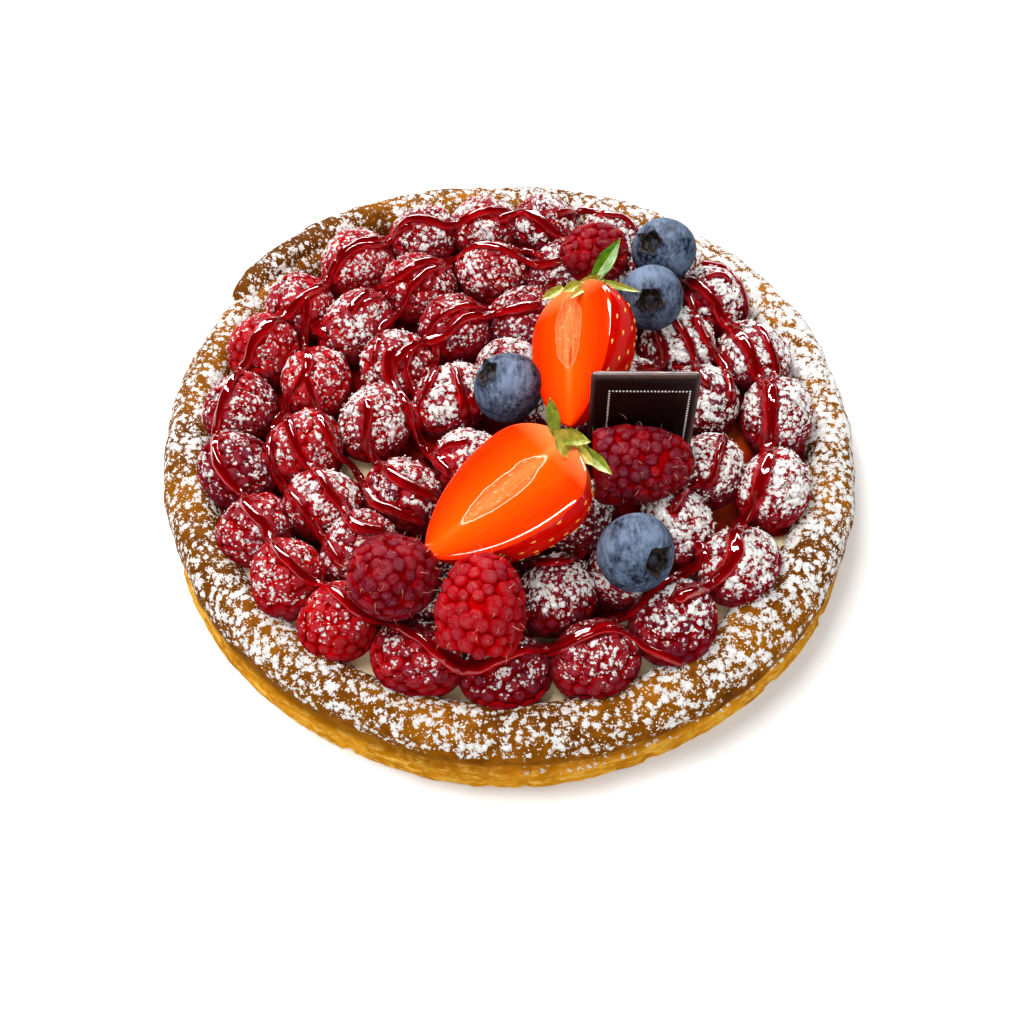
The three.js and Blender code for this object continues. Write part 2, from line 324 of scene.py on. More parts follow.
def iced(tree, shader, lumps, colour, height_mm, under, rough):
    """Lays the icing pattern over a finish: white where it lies, raised a little, and dull. Fine
    sugar passes light on from grain to grain, so its shaded side stays pale; a faint glow of its
    own, painted light, stands for that."""
    group = add(tree, "ShaderNodeGroup", node_tree=ICING)
    group.inputs["Lumps per metre"].default_value = lumps
    mask, height = group.outputs["Mask"], group.outputs["Height"]
    tree.links.new(mixed(tree, mask, colour, ICING_WHITE), shader.inputs["Base Color"])
    tree.links.new(bump(tree, height, height_mm, 1.0, under), shader.inputs["Normal"])
    tree.links.new(ramp(tree, mask, 0.0, 1.0, rough, 0.9), shader.inputs["Roughness"])
    painted_glow = mixed(tree, mask, (0, 0, 0), ICING_WHITE)
    tree.links.new(painted_glow, shader.inputs["Emission Color"])
    shader.inputs["Emission Strength"].default_value = ICING_PAINTED_GLOW


# %% [markdown]
# The shell. A real one is a disc of pastry with a thick rolled rope of dough laid round its rim,
# its end lapped over its start at the back left. The disc's edge bakes into thin ragged golden
# flakes. Its outline is a circle stretched a little from front to back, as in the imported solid.

# %% Plan of the shell
OVALNESS = 0.017
SHEET_RADIUS, SHEET_TOP = 100.5, 3.6
ROPE_RADIUS, ROPE_HALF_WIDTH, ROPE_HALF_HEIGHT, ROPE_MIDDLE = 92.6, 7.2, 8.3, 11.9
ROPE_SHIFT_Y, CUSTARD_RADIUS, CUSTARD_LEVEL = -1.4, 85.1, 14.0


def plan(radius, angle, height, shift_y=0.0):
    """Points at a radius and an angle, in the slightly oval plan of the tart."""
    x = radius * np.cos(angle) * (1 - OVALNESS)
    y = radius * np.sin(angle) * (1 + OVALNESS) + shift_y
    return np.stack(np.broadcast_arrays(x, y, height), -1)


def smooth_step(low, high, value):
    t = np.clip((value - low) / (high - low), 0, 1)
    return t * t * (3 - 2 * t)


def wander(angle, seed, lowest, highest, strength):
    """A wavy closed line: sines of whole counts round the circle, with chance sizes and phases,
    scaled to a typical size of strength."""
    rng = chance(seed)
    counts = np.arange(lowest, highest + 1)
    sizes, phases = rng.normal(size=len(counts)), rng.uniform(0, 2 * np.pi, len(counts))
    waves = (sizes * np.sin(np.multiply.outer(angle, counts) + phases)).sum(-1)
    return strength * waves / np.sqrt(0.5 * (sizes ** 2).sum())


# %% [markdown]
# Baked dough is brown on top and paler where it was sheltered. One recipe serves both parts of
# the crust: a dark and a light brown, mixed by a broad and a fine noise, with dark specks. The
# thin edge gets stretched layers, and the rope gets stored masks for its toasted wall and for
# where the oven caught it. A picture of pastry could be used, but it would repeat and blur.

# %% Crust finish
def crust_material(name, dark, light, shine, flaky):
    material, tree, shader = new_material(name, light, 0.5)
    broad = noise(tree, 45.0, 3.0)
    mottle = noise(tree, 260.0, 4.0, rough=0.6)
    speck = noise(tree, 1500.0, 2.0)
    shade = maths(tree, "ADD", maths(tree, "MULTIPLY", broad, 0.55),
                  maths(tree, "MULTIPLY", mottle, 0.45))
    colour = mixed(tree, ramp(tree, shade, 0.4, 0.62), dark, light)
    colour = mixed(tree, ramp(tree, speck, 0.6, 0.72, 0.0, 0.35), colour, dark)
    if flaky:
        layers = noise(tree, 210.0, 6.0, (1, 1, 7), 0.72)
        colour = mixed(tree, ramp(tree, layers, 0.48, 0.62), colour, flaky)
        colour = mixed(tree, attribute(tree, "crusty"), colour, (0.5, 0.22, 0.012))
        under = bump(tree, layers, 0.7, 0.8)
    else:
        toasted = attribute(tree, "toasted")
        layers = ramp(tree, noise(tree, 190.0, 5.0, (1, 1, 6), 0.7), 0.42, 0.62)
        wall = mixed(tree, layers, (0.36, 0.145, 0.006), (0.62, 0.31, 0.03))
        colour = mixed(tree, toasted, colour, wall)
        colour = mixed(tree, attribute(tree, "scorched"), colour, (0.1, 0.03, 0.005))
        grain = maths(tree, "ADD", mottle, maths(tree, "MULTIPLY", speck, 0.3))
        grain = maths(tree, "ADD", grain, maths(tree, "MULTIPLY", layers, toasted))
        under = bump(tree, grain, 0.5, 0.5)
    shader.inputs["Specular IOR Level"].default_value = shine
    return material, tree, shader, colour, under


ROPE_LUMPS, SHEET_LUMPS = 520.0, 480.0  # lumps of sugar per metre
# painted light: the sugar on the sheet glows more, to stay pale in the shade of the rope
SHEET_PAINTED_GLOW = 0.3
rope_finish, tree, shader, colour, under = crust_material(
    "baked rope", (0.15, 0.047, 0.0015), (0.38, 0.145, 0.006), 0.01, None)
iced(tree, shader, ROPE_LUMPS, colour, 0.45, under, 0.45)
sheet_finish, tree, shader, colour, under = crust_material(
    "flaky golden edge", (0.6, 0.24, 0.01), (0.9, 0.42, 0.03), 0.02, (0.98, 0.6, 0.12))
iced(tree, shader, SHEET_LUMPS, colour, 0.6, under, 0.5)
# painted light: a stronger glow for the sugar lying in the rope's shade
shader.inputs["Emission Strength"].default_value = SHEET_PAINTED_GLOW
print("crust finishes:", rope_finish.name, "and", sheet_finish.name)

# %% [markdown]
# The disc of pastry is a profile turned round the tart: out along the underside, up over a thin
# edge and back along the top. The edge's radius wanders more the nearer it is to the rim, and
# each height wanders in its own way, which gives layers that don't line up, like puffed pastry.

# %% Pastry sheet
def pastry_sheet():
    """Rings from under the tart out to the edge and back over the top. The cut side slopes: each
    layer is a little further in than the one below, by its own small wander."""
    steps = 1200
    angle = np.linspace(0, 2 * np.pi, steps, endpoint=False)
    chips = np.clip(wander(angle, 5, 14, 80, 1.0) - 1.0, 0, 1)
    ragged = wander(angle, 3, 12, 60, 0.08) + wander(angle, 4, 3, 9, 0.25) - 0.6 * chips
    ragged = ragged - 1.6 * np.exp(-((np.degrees(angle) - 190) / 22) ** 2)
    ragged = ragged + 0.5 * smooth_step(0.2, 0.8, -np.sin(angle + 0.1))
    rings = [plan(np.full(steps, radius), angle, 0.0) for radius in (60.0, 90.0, 98.0)]
    heights = [0.0, 0.5, 0.9, 1.4, 1.8, 2.3, 2.7, 3.2, 3.6]
    reach = [0.5, 0.7, 0.25, 0.3, -0.25, -0.2, -0.75, -0.8, -1.5]
    for layer, (height, out) in enumerate(zip(heights, reach)):
        own = wander(angle, 10 + layer // 2, 18, 200, 0.06)
        lift = wander(angle, 30 + layer, 8, 40, 0.07) * (height > 0)
        rings.append(plan(SHEET_RADIUS - 0.3 + out + ragged + own, angle, height + lift))
    for radius, height in ((98.1, SHEET_TOP + 0.25), (94.0, SHEET_TOP + 0.1), (60.0, SHEET_TOP)):
        rings.append(plan(radius + 0.3 * ragged, angle, np.full(steps, height)))
    points, faces = closed_grid(np.stack(rings), [0, 0, 0], [0, 0, SHEET_TOP])
    around = np.arctan2(points[:, 1], points[:, 0])
    patchy = (0.34 + 0.16 * np.sin(7 * around)) * smooth_step(0.25, 0.8, np.cos(around + 0.35))
    sugar = smooth_step(2.4, 3.6, points[:, 2]) * patchy
    top = smooth_step(2.9, 3.7, points[:, 2]) * smooth_step(100.4, 98.4, np.hypot(*points.T[:2]))
    return points, faces, np.clip(sugar, 0, 1), top


points, faces, sugar, top = pastry_sheet()
sheet = make_piece("pastry_sheet", points, faces, sheet_finish, "crust", sugar=sugar, crusty=top)
print("pastry sheet:", len(sheet.data.polygons), "faces")

# %% [markdown]
# The rope is a round profile carried once round the tart and a bit more: it starts under its own
# end, so one sweep makes the lap as well. Near its end it climbs onto its start, drifts outward,
# grows thinner and stops in a rounded nose; near its start it thins out below. A torus with a
# second piece glued on would show a seam that dough doesn't have.

# %% Dough rope
ROPE_START, ROPE_END = 112.0, 153.0 + 360.0
NOSE_LENGTH = 9.0


def rope_centre(degrees):
    """Radius, height, half width and half height of the rope's section at each angle."""
    climb = smooth_step(360 + 100, 360 + 138, degrees)
    last = np.clip((degrees - (ROPE_END - NOSE_LENGTH)) / NOSE_LENGTH, 0, 1)
    first = np.clip((ROPE_START + 14 - degrees) / 14, 0, 1)
    size = np.sqrt(np.clip(1 - last ** 2, 0, 1)) * np.sqrt(np.clip(1 - first ** 2, 0, 1))
    uneven = wander(np.radians(degrees), 7, 2, 9, 0.4)
    front_left = np.exp(-((np.mod(degrees, 360) - 240) / 32) ** 2)
    front_right = np.exp(-((np.mod(degrees, 360) - 315) / 26) ** 2)
    radius = ROPE_RADIUS + 3.2 * climb + 0.4 * uneven - 1.1 * front_left - 1.7 * front_right
    height = ROPE_MIDDLE + 5.2 * climb - 1.6 * last - 2.0 * first
    half_width = (ROPE_HALF_WIDTH - 2.0 * climb + 0.25 * uneven + 1.8 * front_right) * size
    half_height = (ROPE_HALF_HEIGHT - 1.8 * climb + 0.5 * uneven) * size
    return radius, height, np.maximum(half_width, 0.05), np.maximum(half_height, 0.05)


def rope_surface(degrees, around):
    """Points of the rope at an angle round the tart and an angle round its section: a rounded
    profile, flat where it rests, with kneaded waves that grow toward the top."""
    radius, height, wide, tall = rope_centre(degrees)
    turn = np.radians(degrees)
    knead = 0.22 * np.sin(17 * turn + 2.2 * np.sin(around)) + 0.16 * np.sin(
        41 * turn + 3 * around) + 0.1 * np.sin(73 * turn - 2 * around)
    knead = knead * np.clip(tall / 4, 0, 1)
    out = (wide + knead) * np.sign(np.cos(around)) * np.abs(np.cos(around)) ** 0.92
    up = (tall + knead) * np.sign(np.sin(around)) * np.abs(np.sin(around)) ** 0.92
    out = out - 1.8 * np.clip(-np.sin(around), 0, 1) * (np.cos(around) > 0)
    floor = SHEET_TOP - 0.4
    return plan(radius + out, turn, np.maximum(height + up, floor), ROPE_SHIFT_Y)


def rope_cover(degrees, around):
    """How thickly sugar covers the rope: the top and shoulders, not the lower outer wall, and
    most at the right and the back right."""
    facing = np.sin(around)
    turn = np.radians(degrees)
    drift = 0.1 * np.sin(9 * turn) + 0.08 * np.sin(23 * turn + 1)
    outer = np.where(np.cos(around) > 0, 0.16, -0.25)
    top = smooth_step(outer - 0.14, outer + 0.3, facing + drift)
    back_right = smooth_step(0.1, 1.0, np.cos(turn - np.radians(25)))
    side = 0.45 + 0.2 * back_right + 0.05 * np.sin(5 * turn) + wander(turn, 21, 7, 45, 0.06)
    sheltered = smooth_step(360 + 112, 360 + 150, degrees)
    return top * (side - 0.12 * sheltered)


degrees = np.linspace(ROPE_START, ROPE_END, 1000)[:, None]
around = np.linspace(0, 2 * np.pi, 60, endpoint=False)[None, :]
grid = rope_surface(degrees, around)
points, faces = closed_grid(grid, grid[0].mean(0), grid[-1].mean(0))
rope_sugar = rope_cover(degrees, around)
lap = smooth_step(360 + 108, 360 + 150, degrees)
toast = 0.9 * smooth_step(0.1, -0.5, np.sin(around)) * (np.cos(around) > 0) * (1 - lap)
scorch = 0.6 * lap + 0.25 * wander(np.radians(degrees), 8, 3, 14, 1.0) * np.sin(around)
scorch = scorch + 0.3 * smooth_step(0.2, 1.0, np.cos(np.radians(degrees - 195)))
ends = np.zeros(2)
rope = make_piece(
    "dough_rope", points, faces, rope_finish, "crust",
    sugar=np.concatenate([rope_sugar.ravel(), ends]),
    toasted=np.concatenate([np.clip(toast, 0, 1).ravel(), ends]),
    scorched=np.concatenate([np.clip(scorch, 0, 1).ravel(), ends]))
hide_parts("crust")
print("dough rope:", len(rope.data.polygons), "faces")

# %% [markdown]
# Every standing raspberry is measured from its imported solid. The points at its widest height lie
# on an ellipse; points spread evenly on an ellipse have variances of half its squared half
# widths, so the spread of those few points gives both half widths and their direction.

# %% Measure the standing raspberries
WIDEST_AT = 0.36
SWELL = 1.1


def solid_points(node):
    mesh = frame["nodes"][node].data
    flat = np.zeros(len(mesh.vertices) * 3)
    mesh.vertices.foreach_get("co", flat)
    return np.unique(np.round(flat.reshape(-1, 3) / MM, 3), axis=0)


def measure_berry(node):
    points = solid_points(node)
    foot, tip = points[:, 2].min(), points[:, 2].max()
    widest = points[np.abs(points[:, 2] - foot - WIDEST_AT * (tip - foot)) < 0.2][:, :2]
    middle = widest.mean(0)
    spread, directions = np.linalg.eigh(np.cov((widest - middle).T, bias=True))
    lean = points[points[:, 2].argmax(), :2] - middle
    return {"node": node, "middle": middle, "foot": foot, "height": tip - foot, "lean": lean,
            "halves": np.sqrt(2 * spread), "axes": directions.T}


ring_nodes = sorted(n for n in frame["nodes"] if n.startswith("raspberry_") and "top" not in n)
BERRIES = [measure_berry(node) for node in ring_nodes]
# place, half width and height of each berry of the heap under the upper strawberry
HEAP = [((23, 26.4), 10.4, 15.4), ((34, 8.6), 10.4, 16.0), ((33.2, -12.4), 10.4, 14.6),
        ((13.2, 3.8), 10.4, 16.2), ((-0.7, 16.4), 8.6, 15.6)]
HIDDEN_SPOT = (-7.2, -41.6)


def plain_berry(node, spot, half, height):
    return {"node": node, "middle": np.array(spot, float), "foot": CUSTARD_LEVEL + 0.3,
            "height": height, "lean": np.zeros(2), "halves": np.full(2, half), "axes": np.eye(2)}


BERRIES += [plain_berry("raspberries_under", *heap_berry) for heap_berry in HEAP]
BERRIES.append(plain_berry(None, HIDDEN_SPOT, 8.6, 14.5))
print("standing raspberries:", len(BERRIES))

# %% [markdown]
# The field the sauce will lie on is a height for each half millimetre of the plan: the tallest
# berry over each cell, or the custard. Sauce is thick and bridges gaps, so it follows a softened
# copy: averaging exp(height) instead of height lets the high places win, as a cloth would. The
# averaging is a Gaussian blur done as a product of spectra.

# %% Height field
CELL = 0.5
FIELD_EDGE = 106
axis_mm = np.arange(-FIELD_EDGE, FIELD_EDGE + CELL, CELL)
field_x, field_y = np.meshgrid(axis_mm, axis_mm, indexing="ij")
field = np.full(field_x.shape, CUSTARD_LEVEL)


def berry_dome(berry, x, y):
    """Top of a berry over plan points: its height share is WIDEST_AT where it is widest and
    follows the outline to the tip."""
    shift = berry["middle"] + 0.5 * berry["lean"]
    across = [(x - shift[0]) * a[0] + (y - shift[1]) * a[1] for a in berry["axes"]]
    share = sum((step / (half + SWELL - 0.7)) ** 2 for step, half in zip(across, berry["halves"]))
    inside = np.sqrt(np.clip(1 - share, 0, 1)) ** 1.05
    top = berry["foot"] + berry["height"] * (WIDEST_AT + (1 - WIDEST_AT) * inside)
    return np.where(share < 1, top + 0.5, CUSTARD_LEVEL)


for berry in BERRIES:
    field = np.maximum(field, berry_dome(berry, field_x, field_y))
radius_here = np.hypot(field_x / (1 - OVALNESS), (field_y - ROPE_SHIFT_Y) / (1 + OVALNESS))
rope_share = np.clip(1 - ((radius_here - ROPE_RADIUS) / ROPE_HALF_WIDTH) ** 2, 0, 1)
field = np.where(rope_share > 0, np.maximum(
    field, ROPE_MIDDLE + ROPE_HALF_HEIGHT * np.sqrt(rope_share)), field)
field = np.where(radius_here > ROPE_RADIUS + ROPE_HALF_WIDTH, SHEET_TOP, field)


def blurred(values, sigma_mm):
    waves = np.fft.fftfreq(len(axis_mm), CELL)
    fall = np.exp(-2 * (np.pi * sigma_mm * waves) ** 2)
    return np.fft.ifft2(np.fft.fft2(values) * fall[:, None] * fall[None, :]).real


STIFFNESS = 0.5
drape = np.log(np.maximum(blurred(np.exp(STIFFNESS * (field - 20)), 1.5), 1e-6)) / STIFFNESS + 20
drape = blurred(np.maximum(drape, field), 0.7)


def sample(values, x, y):
    """Reads a height field at plan points by blending the four cells round each."""
    fx = np.clip((x + FIELD_EDGE) / CELL, 0, len(axis_mm) - 1.001)
    fy = np.clip((y + FIELD_EDGE) / CELL, 0, len(axis_mm) - 1.001)
    i, j = fx.astype(int), fy.astype(int)
    u, v = fx - i, fy - j
    low = values[i, j] * (1 - u) + values[i + 1, j] * u
    high = values[i, j + 1] * (1 - u) + values[i + 1, j + 1] * u
    return low * (1 - v) + high * v


print("field from", round(float(field.min()), 1), "to", round(float(field.max()), 1), "mm")

# %% [markdown]
# The sauce was trailed from a spoon in long loops. Each loop is a short list of picture pixels
# read off one by one. A smooth curve is led through them, each of its points is sent down its sight
# line until it meets the softened field, and the line that this leaves on the berries is smoothed
# again, so it lies on them from every side, not only from the camera's.

# %% Trails of sauce
# name: (half width in mm, picture pixels along the trail)
TRAILS = {
    "outer_top": (1.2, [(572, 238), (563, 239), (556, 236), (549, 229), (541, 221), (531, 215),
                        (520, 213), (508, 217), (498, 222)]),
    "outer_back": (1.15, [(512, 213), (498, 212), (485, 212), (470, 217), (458, 224), (445, 227),
                          (433, 222), (420, 219), (408, 220), (398, 229), (388, 238),
                          (376, 241), (362, 243), (350, 248), (341, 255), (335, 264)]),
    "outer_back_low": (0.9, [(410, 226), (401, 232), (393, 240), (383, 245), (368, 246),
                             (355, 249), (347, 256), (340, 264), (335, 275), (330, 284)]),
    "outer_left": (1.45, [(338, 260), (332, 272), (325, 285), (315, 291), (303, 298),
                          (294, 308), (285, 318), (272, 323), (262, 332), (254, 341),
                          (250, 352), (248, 362), (241, 371), (232, 380), (227, 392),
                          (222, 403), (218, 418), (216, 435), (215, 452), (219, 466),
                          (226, 477), (234, 487), (243, 495), (246, 505), (255, 516),
                          (266, 526), (271, 540), (279, 552), (290, 562), (300, 573),
                          (312, 582), (326, 586), (338, 593), (347, 603), (358, 612),
                          (372, 618), (388, 622), (402, 628), (417, 637), (428, 645),
                          (440, 655), (452, 664)]),
    "outer_front": (1.55, [(440, 655), (452, 664), (465, 668), (480, 668), (495, 661),
                           (510, 654), (525, 650), (540, 650), (556, 647), (572, 639),
                           (588, 630), (604, 624), (622, 618), (636, 608), (648, 595),
                           (662, 584), (678, 576), (692, 570), (702, 560), (702, 549),
                           (693, 543)]),
    "front_twin": (0.8, [(545, 655), (562, 650), (580, 641), (598, 633), (612, 631),
                         (625, 634)]),
    "to_rim": (0.95, [(604, 626), (620, 631), (632, 638), (645, 648), (660, 655), (674, 660),
                      (687, 665)]),
    "right": (1.9, [(672, 600), (690, 593), (708, 585), (722, 574), (732, 561), (736, 548),
                    (734, 537), (739, 527), (748, 516), (754, 503), (758, 490), (762, 475),
                    (767, 459), (769, 442), (770, 420), (770, 400), (768, 384)]),
    "right_back": (1.5, [(769, 394), (765, 384), (757, 376), (753, 364), (750, 352),
                         (744, 342), (735, 333), (725, 325), (719, 315), (714, 303),
                         (707, 295), (698, 287), (688, 281), (676, 281)]),
    "right_edge": (1.1, [(768, 386), (775, 377), (776, 366), (771, 352), (767, 340),
                         (762, 330), (756, 324)]),
    "right_middle": (1.35, [(682, 288), (690, 299), (695, 312), (699, 325), (704, 337),
                            (711, 347), (717, 357), (724, 367), (729, 380), (731, 392),
                            (730, 403)]),
    "right_rim": (0.85, [(700, 264), (712, 265), (724, 268), (733, 275), (739, 284),
                         (744, 295), (747, 308), (746, 319)]),
    "right_rim_low": (0.55, [(706, 278), (716, 275), (725, 276), (731, 283)]),
    "by_plaque": (0.95, [(674, 320), (683, 332), (690, 345), (694, 357), (697, 368),
                         (703, 378), (709, 387)]),
    "behind_plaque": (1.0, [(655, 330), (661, 343), (664, 355), (662, 366), (651, 369),
                            (638, 366)]),
    "back_rim": (0.95, [(556, 214), (568, 212), (582, 211), (598, 213), (612, 216),
                        (622, 217), (630, 223), (637, 232)]),
    "second": (1.25, [(562, 259), (552, 264), (540, 266), (528, 262), (516, 256), (505, 250),
                      (494, 247), (480, 246), (468, 250), (460, 257), (452, 262), (440, 262),
                      (428, 261), (415, 266), (405, 273), (396, 280), (384, 286), (372, 291),
                      (362, 297), (355, 305), (349, 315)]),
    "second_low": (1.05, [(452, 266), (440, 268), (428, 272), (418, 281), (410, 290),
                          (405, 302), (400, 312), (390, 320), (381, 329), (378, 342),
                          (374, 355), (373, 368)]),
    "second_link": (0.75, [(396, 281), (391, 292), (383, 299), (372, 301), (362, 306)]),
    "second_pool": (0.9, [(545, 257), (535, 254), (522, 252), (510, 248)]),
    "third": (1.2, [(543, 307), (528, 307), (514, 310), (500, 313), (488, 316), (474, 317),
                    (462, 321), (453, 330), (445, 337), (432, 341), (420, 344), (408, 350),
                    (399, 358), (394, 368)]),
    "third_high": (0.85, [(500, 313), (488, 309), (474, 306), (462, 307), (450, 312),
                          (439, 319), (431, 327), (426, 338)]),
    "middle": (1.6, [(396, 348), (389, 358), (388, 369), (391, 381), (398, 391), (405, 402),
                     (411, 415), (416, 430), (420, 442), (428, 452), (438, 460), (446, 468),
                     (453, 479)]),
    "middle_right": (1.1, [(434, 343), (437, 356), (435, 370), (430, 383), (424, 395),
                           (418, 407), (416, 420)]),
    "middle_loop": (0.8, [(414, 351), (407, 362), (407, 375), (412, 387), (417, 398)]),
    "middle_left": (1.45, [(367, 398), (367, 412), (366, 426), (365, 440), (369, 452),
                           (378, 463), (389, 472), (400, 481), (412, 488), (426, 494),
                           (441, 498)]),
    "at_blueberry": (1.3, [(455, 367), (458, 380), (462, 392), (465, 405), (462, 419)]),
    "under_fruit": (1.0, [(470, 441), (456, 445), (445, 448), (437, 455)]),
    "inner_left": (1.35, [(308, 296), (307, 314), (306, 330), (305, 346), (308, 362),
                          (304, 376), (299, 387), (292, 396), (286, 405), (287, 417),
                          (290, 430), (295, 443), (300, 456), (308, 465), (319, 474),
                          (326, 485), (334, 497), (343, 507), (349, 519), (357, 527),
                          (371, 530), (389, 533)]),
    "inner_right": (1.25, [(306, 374), (309, 388), (313, 400), (319, 414), (326, 429),
                           (333, 443), (339, 456), (349, 464), (357, 474), (364, 485),
                           (370, 497), (379, 507), (393, 511), (408, 517), (427, 524)]),
    "inner_outside": (1.1, [(284, 412), (275, 425), (270, 440), (270, 456), (273, 470),
                            (281, 484), (291, 496), (300, 505), (308, 516), (317, 530),
                            (325, 542), (334, 554), (344, 567)]),
    "pool_left": (2.4, [(312, 322), (320, 330), (329, 336)]),
    "pool_middle": (2.3, [(408, 402), (413, 418), (417, 434)]),
    "pool_blueberry": (2.2, [(472, 392), (474, 404), (471, 416)]),
    "front_low": (1.25, [(518, 569), (534, 563), (552, 563), (570, 560), (588, 550)]),
    "right_inner": (1.15, [(702, 483), (691, 486), (683, 493), (677, 503), (671, 514)]),
    "right_inner_high": (0.9, [(724, 437), (719, 453), (716, 468), (712, 481), (703, 489)]),
}
TRAIL_THICKNESS, TRAIL_STEP = 1.3, 0.4


def smooth_curve(corners, spacing):
    """A Catmull-Rom curve through the corners: each stretch blends its two ends and their two
    neighbours with cubic weights. Resampled at an even spacing."""
    ends = [2 * corners[0] - corners[1], *corners, 2 * corners[-1] - corners[-2]]
    p = np.array(ends)
    t = np.linspace(0, 1, 24, endpoint=False)[None, :, None]
    a, b, c, d = (p[k:len(p) - 3 + k][:, None, :] for k in range(4))
    curve = 0.5 * (2 * b + (c - a) * t + (2 * a - 5 * b + 4 * c - d) * t ** 2
                   + (3 * b - a - 3 * c + d) * t ** 3)
    curve = np.concatenate([curve.reshape(-1, p.shape[1]), corners[-1:]])
    return evenly(curve, spacing)


def evenly(curve, spacing):
    steps = np.linalg.norm(np.diff(curve, axis=0), axis=1)
    along = np.concatenate([[0], np.cumsum(steps)])
    marks = np.linspace(0, along[-1], max(int(along[-1] / spacing), 4))
    return np.stack([np.interp(marks, along, curve[:, k]) for k in range(curve.shape[1])], -1)


def fall_on_field(pixels):
    """Where each sight line first dips under the softened field, in millimetres."""
    rays = pixel_rays(pixels)
    heights = np.arange(44.0, CUSTARD_LEVEL - 2, -0.2)
    reach = (heights[None, :] - cam_place[2] / MM) / rays[:, 2:]
    x = cam_place[0] / MM + reach * rays[:, :1]
    y = cam_place[1] / MM + reach * rays[:, 1:2]
    under = heights[None, :] < sample(drape, x, y)
    hit = under.argmax(1)
    row = np.arange(len(rays))
    return np.stack([x[row, hit], y[row, hit], heights[hit]], -1)


def eased(values, width):
    """A running average along a line that keeps its ends."""
    weights = np.hanning(2 * width + 3)[1:-1]
    padded = np.pad(values, ((width, width), (0, 0)), mode="edge")
    return np.stack([np.convolve(padded[:, k], weights / weights.sum(), "valid")
                     for k in range(values.shape[1])], -1)


def trail_line(pixels):
    line = evenly(fall_on_field(smooth_curve(np.array(pixels, float), 1.5)), 0.5)
    line = evenly(eased(line[:, :2], 4), TRAIL_STEP)
    height = sample(drape, line[:, 0], line[:, 1])
    return np.column_stack([line, eased(height[:, None], 3)])


LINES = {name: trail_line(pixels) for name, (half, pixels) in TRAILS.items()}
print("sauce trails:", len(LINES), "of together",
      round(sum(len(line) for line in LINES.values()) * TRAIL_STEP), "mm")

# %% [markdown]
# A trail is a flat ribbon with a rounded top. Each point across it is dropped onto the softened
# field by itself, so the ribbon wraps over a berry and hangs a little between two, from whatever
# side it is seen. Its width swells and narrows as the spoon sped up and slowed, low ridges run
# along it, and both ends close in a rounded tip.

# %% Trail surface
def trail_surface(line, half, seed):
    """Rings of points. Across the ribbon u runs 1..-1..1: its top is the field plus thickness *
    sqrt(1 - u squared), its underside lies half a millimetre inside the field."""
    rng = chance(seed)
    along = eased(np.gradient(line[:, :2], axis=0), 2)
    along /= np.linalg.norm(along, axis=1, keepdims=True)
    side = np.column_stack([-along[:, 1], along[:, 0]])
    mark = np.arange(len(line)) * TRAIL_STEP
    swell = 1 + 0.12 * np.sin(mark / 2.1 + rng.uniform(0, 6)) + 0.05 * np.sin(
        mark / 0.9 + rng.uniform(0, 6)) + 0.1 * np.sin(mark / 5.7 + rng.uniform(0, 6))
    tip = np.sqrt(np.clip(1 - (1 - np.clip(np.minimum(mark, mark[::-1]) / (1.3 * half), 0, 1)) ** 2,
                          0.004, 1))
    turn = np.linspace(0, 2 * np.pi, 22, endpoint=False)[None, :]
    u = np.cos(turn) * np.ones((len(line), 1))
    wobble = 1 + 0.03 * np.sin(3 * mark + seed)[:, None] * np.sign(u)
    wide = (half * swell * tip)[:, None] * u * wobble
    x = line[:, :1] + wide * side[:, :1]
    y = line[:, 1:2] + wide * side[:, 1:]
    rest = sample(drape, x, y)
    rest = np.clip(rest, line[:, 2:] - 0.35 * np.abs(wide), line[:, 2:] + 0.35 * np.abs(wide))
    ridges = 1 + 0.11 * np.cos(5.2 * u + 1.7 * np.sin(mark / 3.1)[:, None])
    thick = TRAIL_THICKNESS * (0.65 + 0.35 * half) * tip[:, None] * ridges
    lift = np.where(np.sin(turn) > 0, thick * np.abs(np.sin(turn)), -0.8 * np.abs(np.sin(turn)))
    return np.stack([x, y, rest + 0.1 + lift], -1), np.abs(u)


sauce_finish, tree, shader = new_material(
    "berry sauce", (0.2, 0.002, 0.006), 0.08, Coat_Weight=1.0, Coat_Roughness=0.03,
    Specular_IOR_Level=0.5)
ragged = ramp(tree, noise(tree, 150.0, 2.0), 0.3, 0.7, -0.3, 0.3)
thin = maths(tree, "ADD", attribute(tree, "edge"), ragged)
colour = mixed(tree, ramp(tree, thin, 0.35, 1.0), (0.17, 0.0003, 0.0018), (0.46, 0.001, 0.006))
tree.links.new(colour, shader.inputs["Base Color"])
tree.links.new(bump(tree, noise(tree, 330.0, 1.0), 0.25, 0.4), shader.inputs["Normal"])

for number, (name, line) in enumerate(LINES.items()):
    grid, edge = trail_surface(line, TRAILS[name][0], 60 + number)
    points, faces = closed_grid(grid[:, ::-1], grid[0].mean(0), grid[-1].mean(0))
    edge = np.concatenate([edge[:, ::-1].ravel(), [1, 1]])
    make_piece("sauce_" + name, points, faces, sauce_finish, None, edge=edge)
print("sauce pieces:", len(LINES))

# %% [markdown]
# No sugar shows where sauce lies. A second field holds the distance from every cell to the
# nearest trail, so that any piece can look up whether a point of it is under sauce.

# %% Where the sauce lies
sauced = np.zeros_like(field)
for name, line in LINES.items():
    for offset in np.linspace(-1, 1, 7) * TRAILS[name][0]:
        shifted = line[:, :2] + offset * np.column_stack([
            -np.gradient(line[:, 1]), np.gradient(line[:, 0])]) / TRAIL_STEP
        cells = np.round((shifted + FIELD_EDGE) / CELL).astype(int).clip(0, len(axis_mm) - 1)
        sauced[cells[:, 0], cells[:, 1]] = 1.0
sauce_near = np.clip(blurred(sauced, 0.45) * 1.6, 0, 1)


def bare_of_sauce(x, y):
    """1 away from the trails, 0 under them."""
    return 1 - smooth_step(0.3, 0.8, sample(sauce_near, x, y))


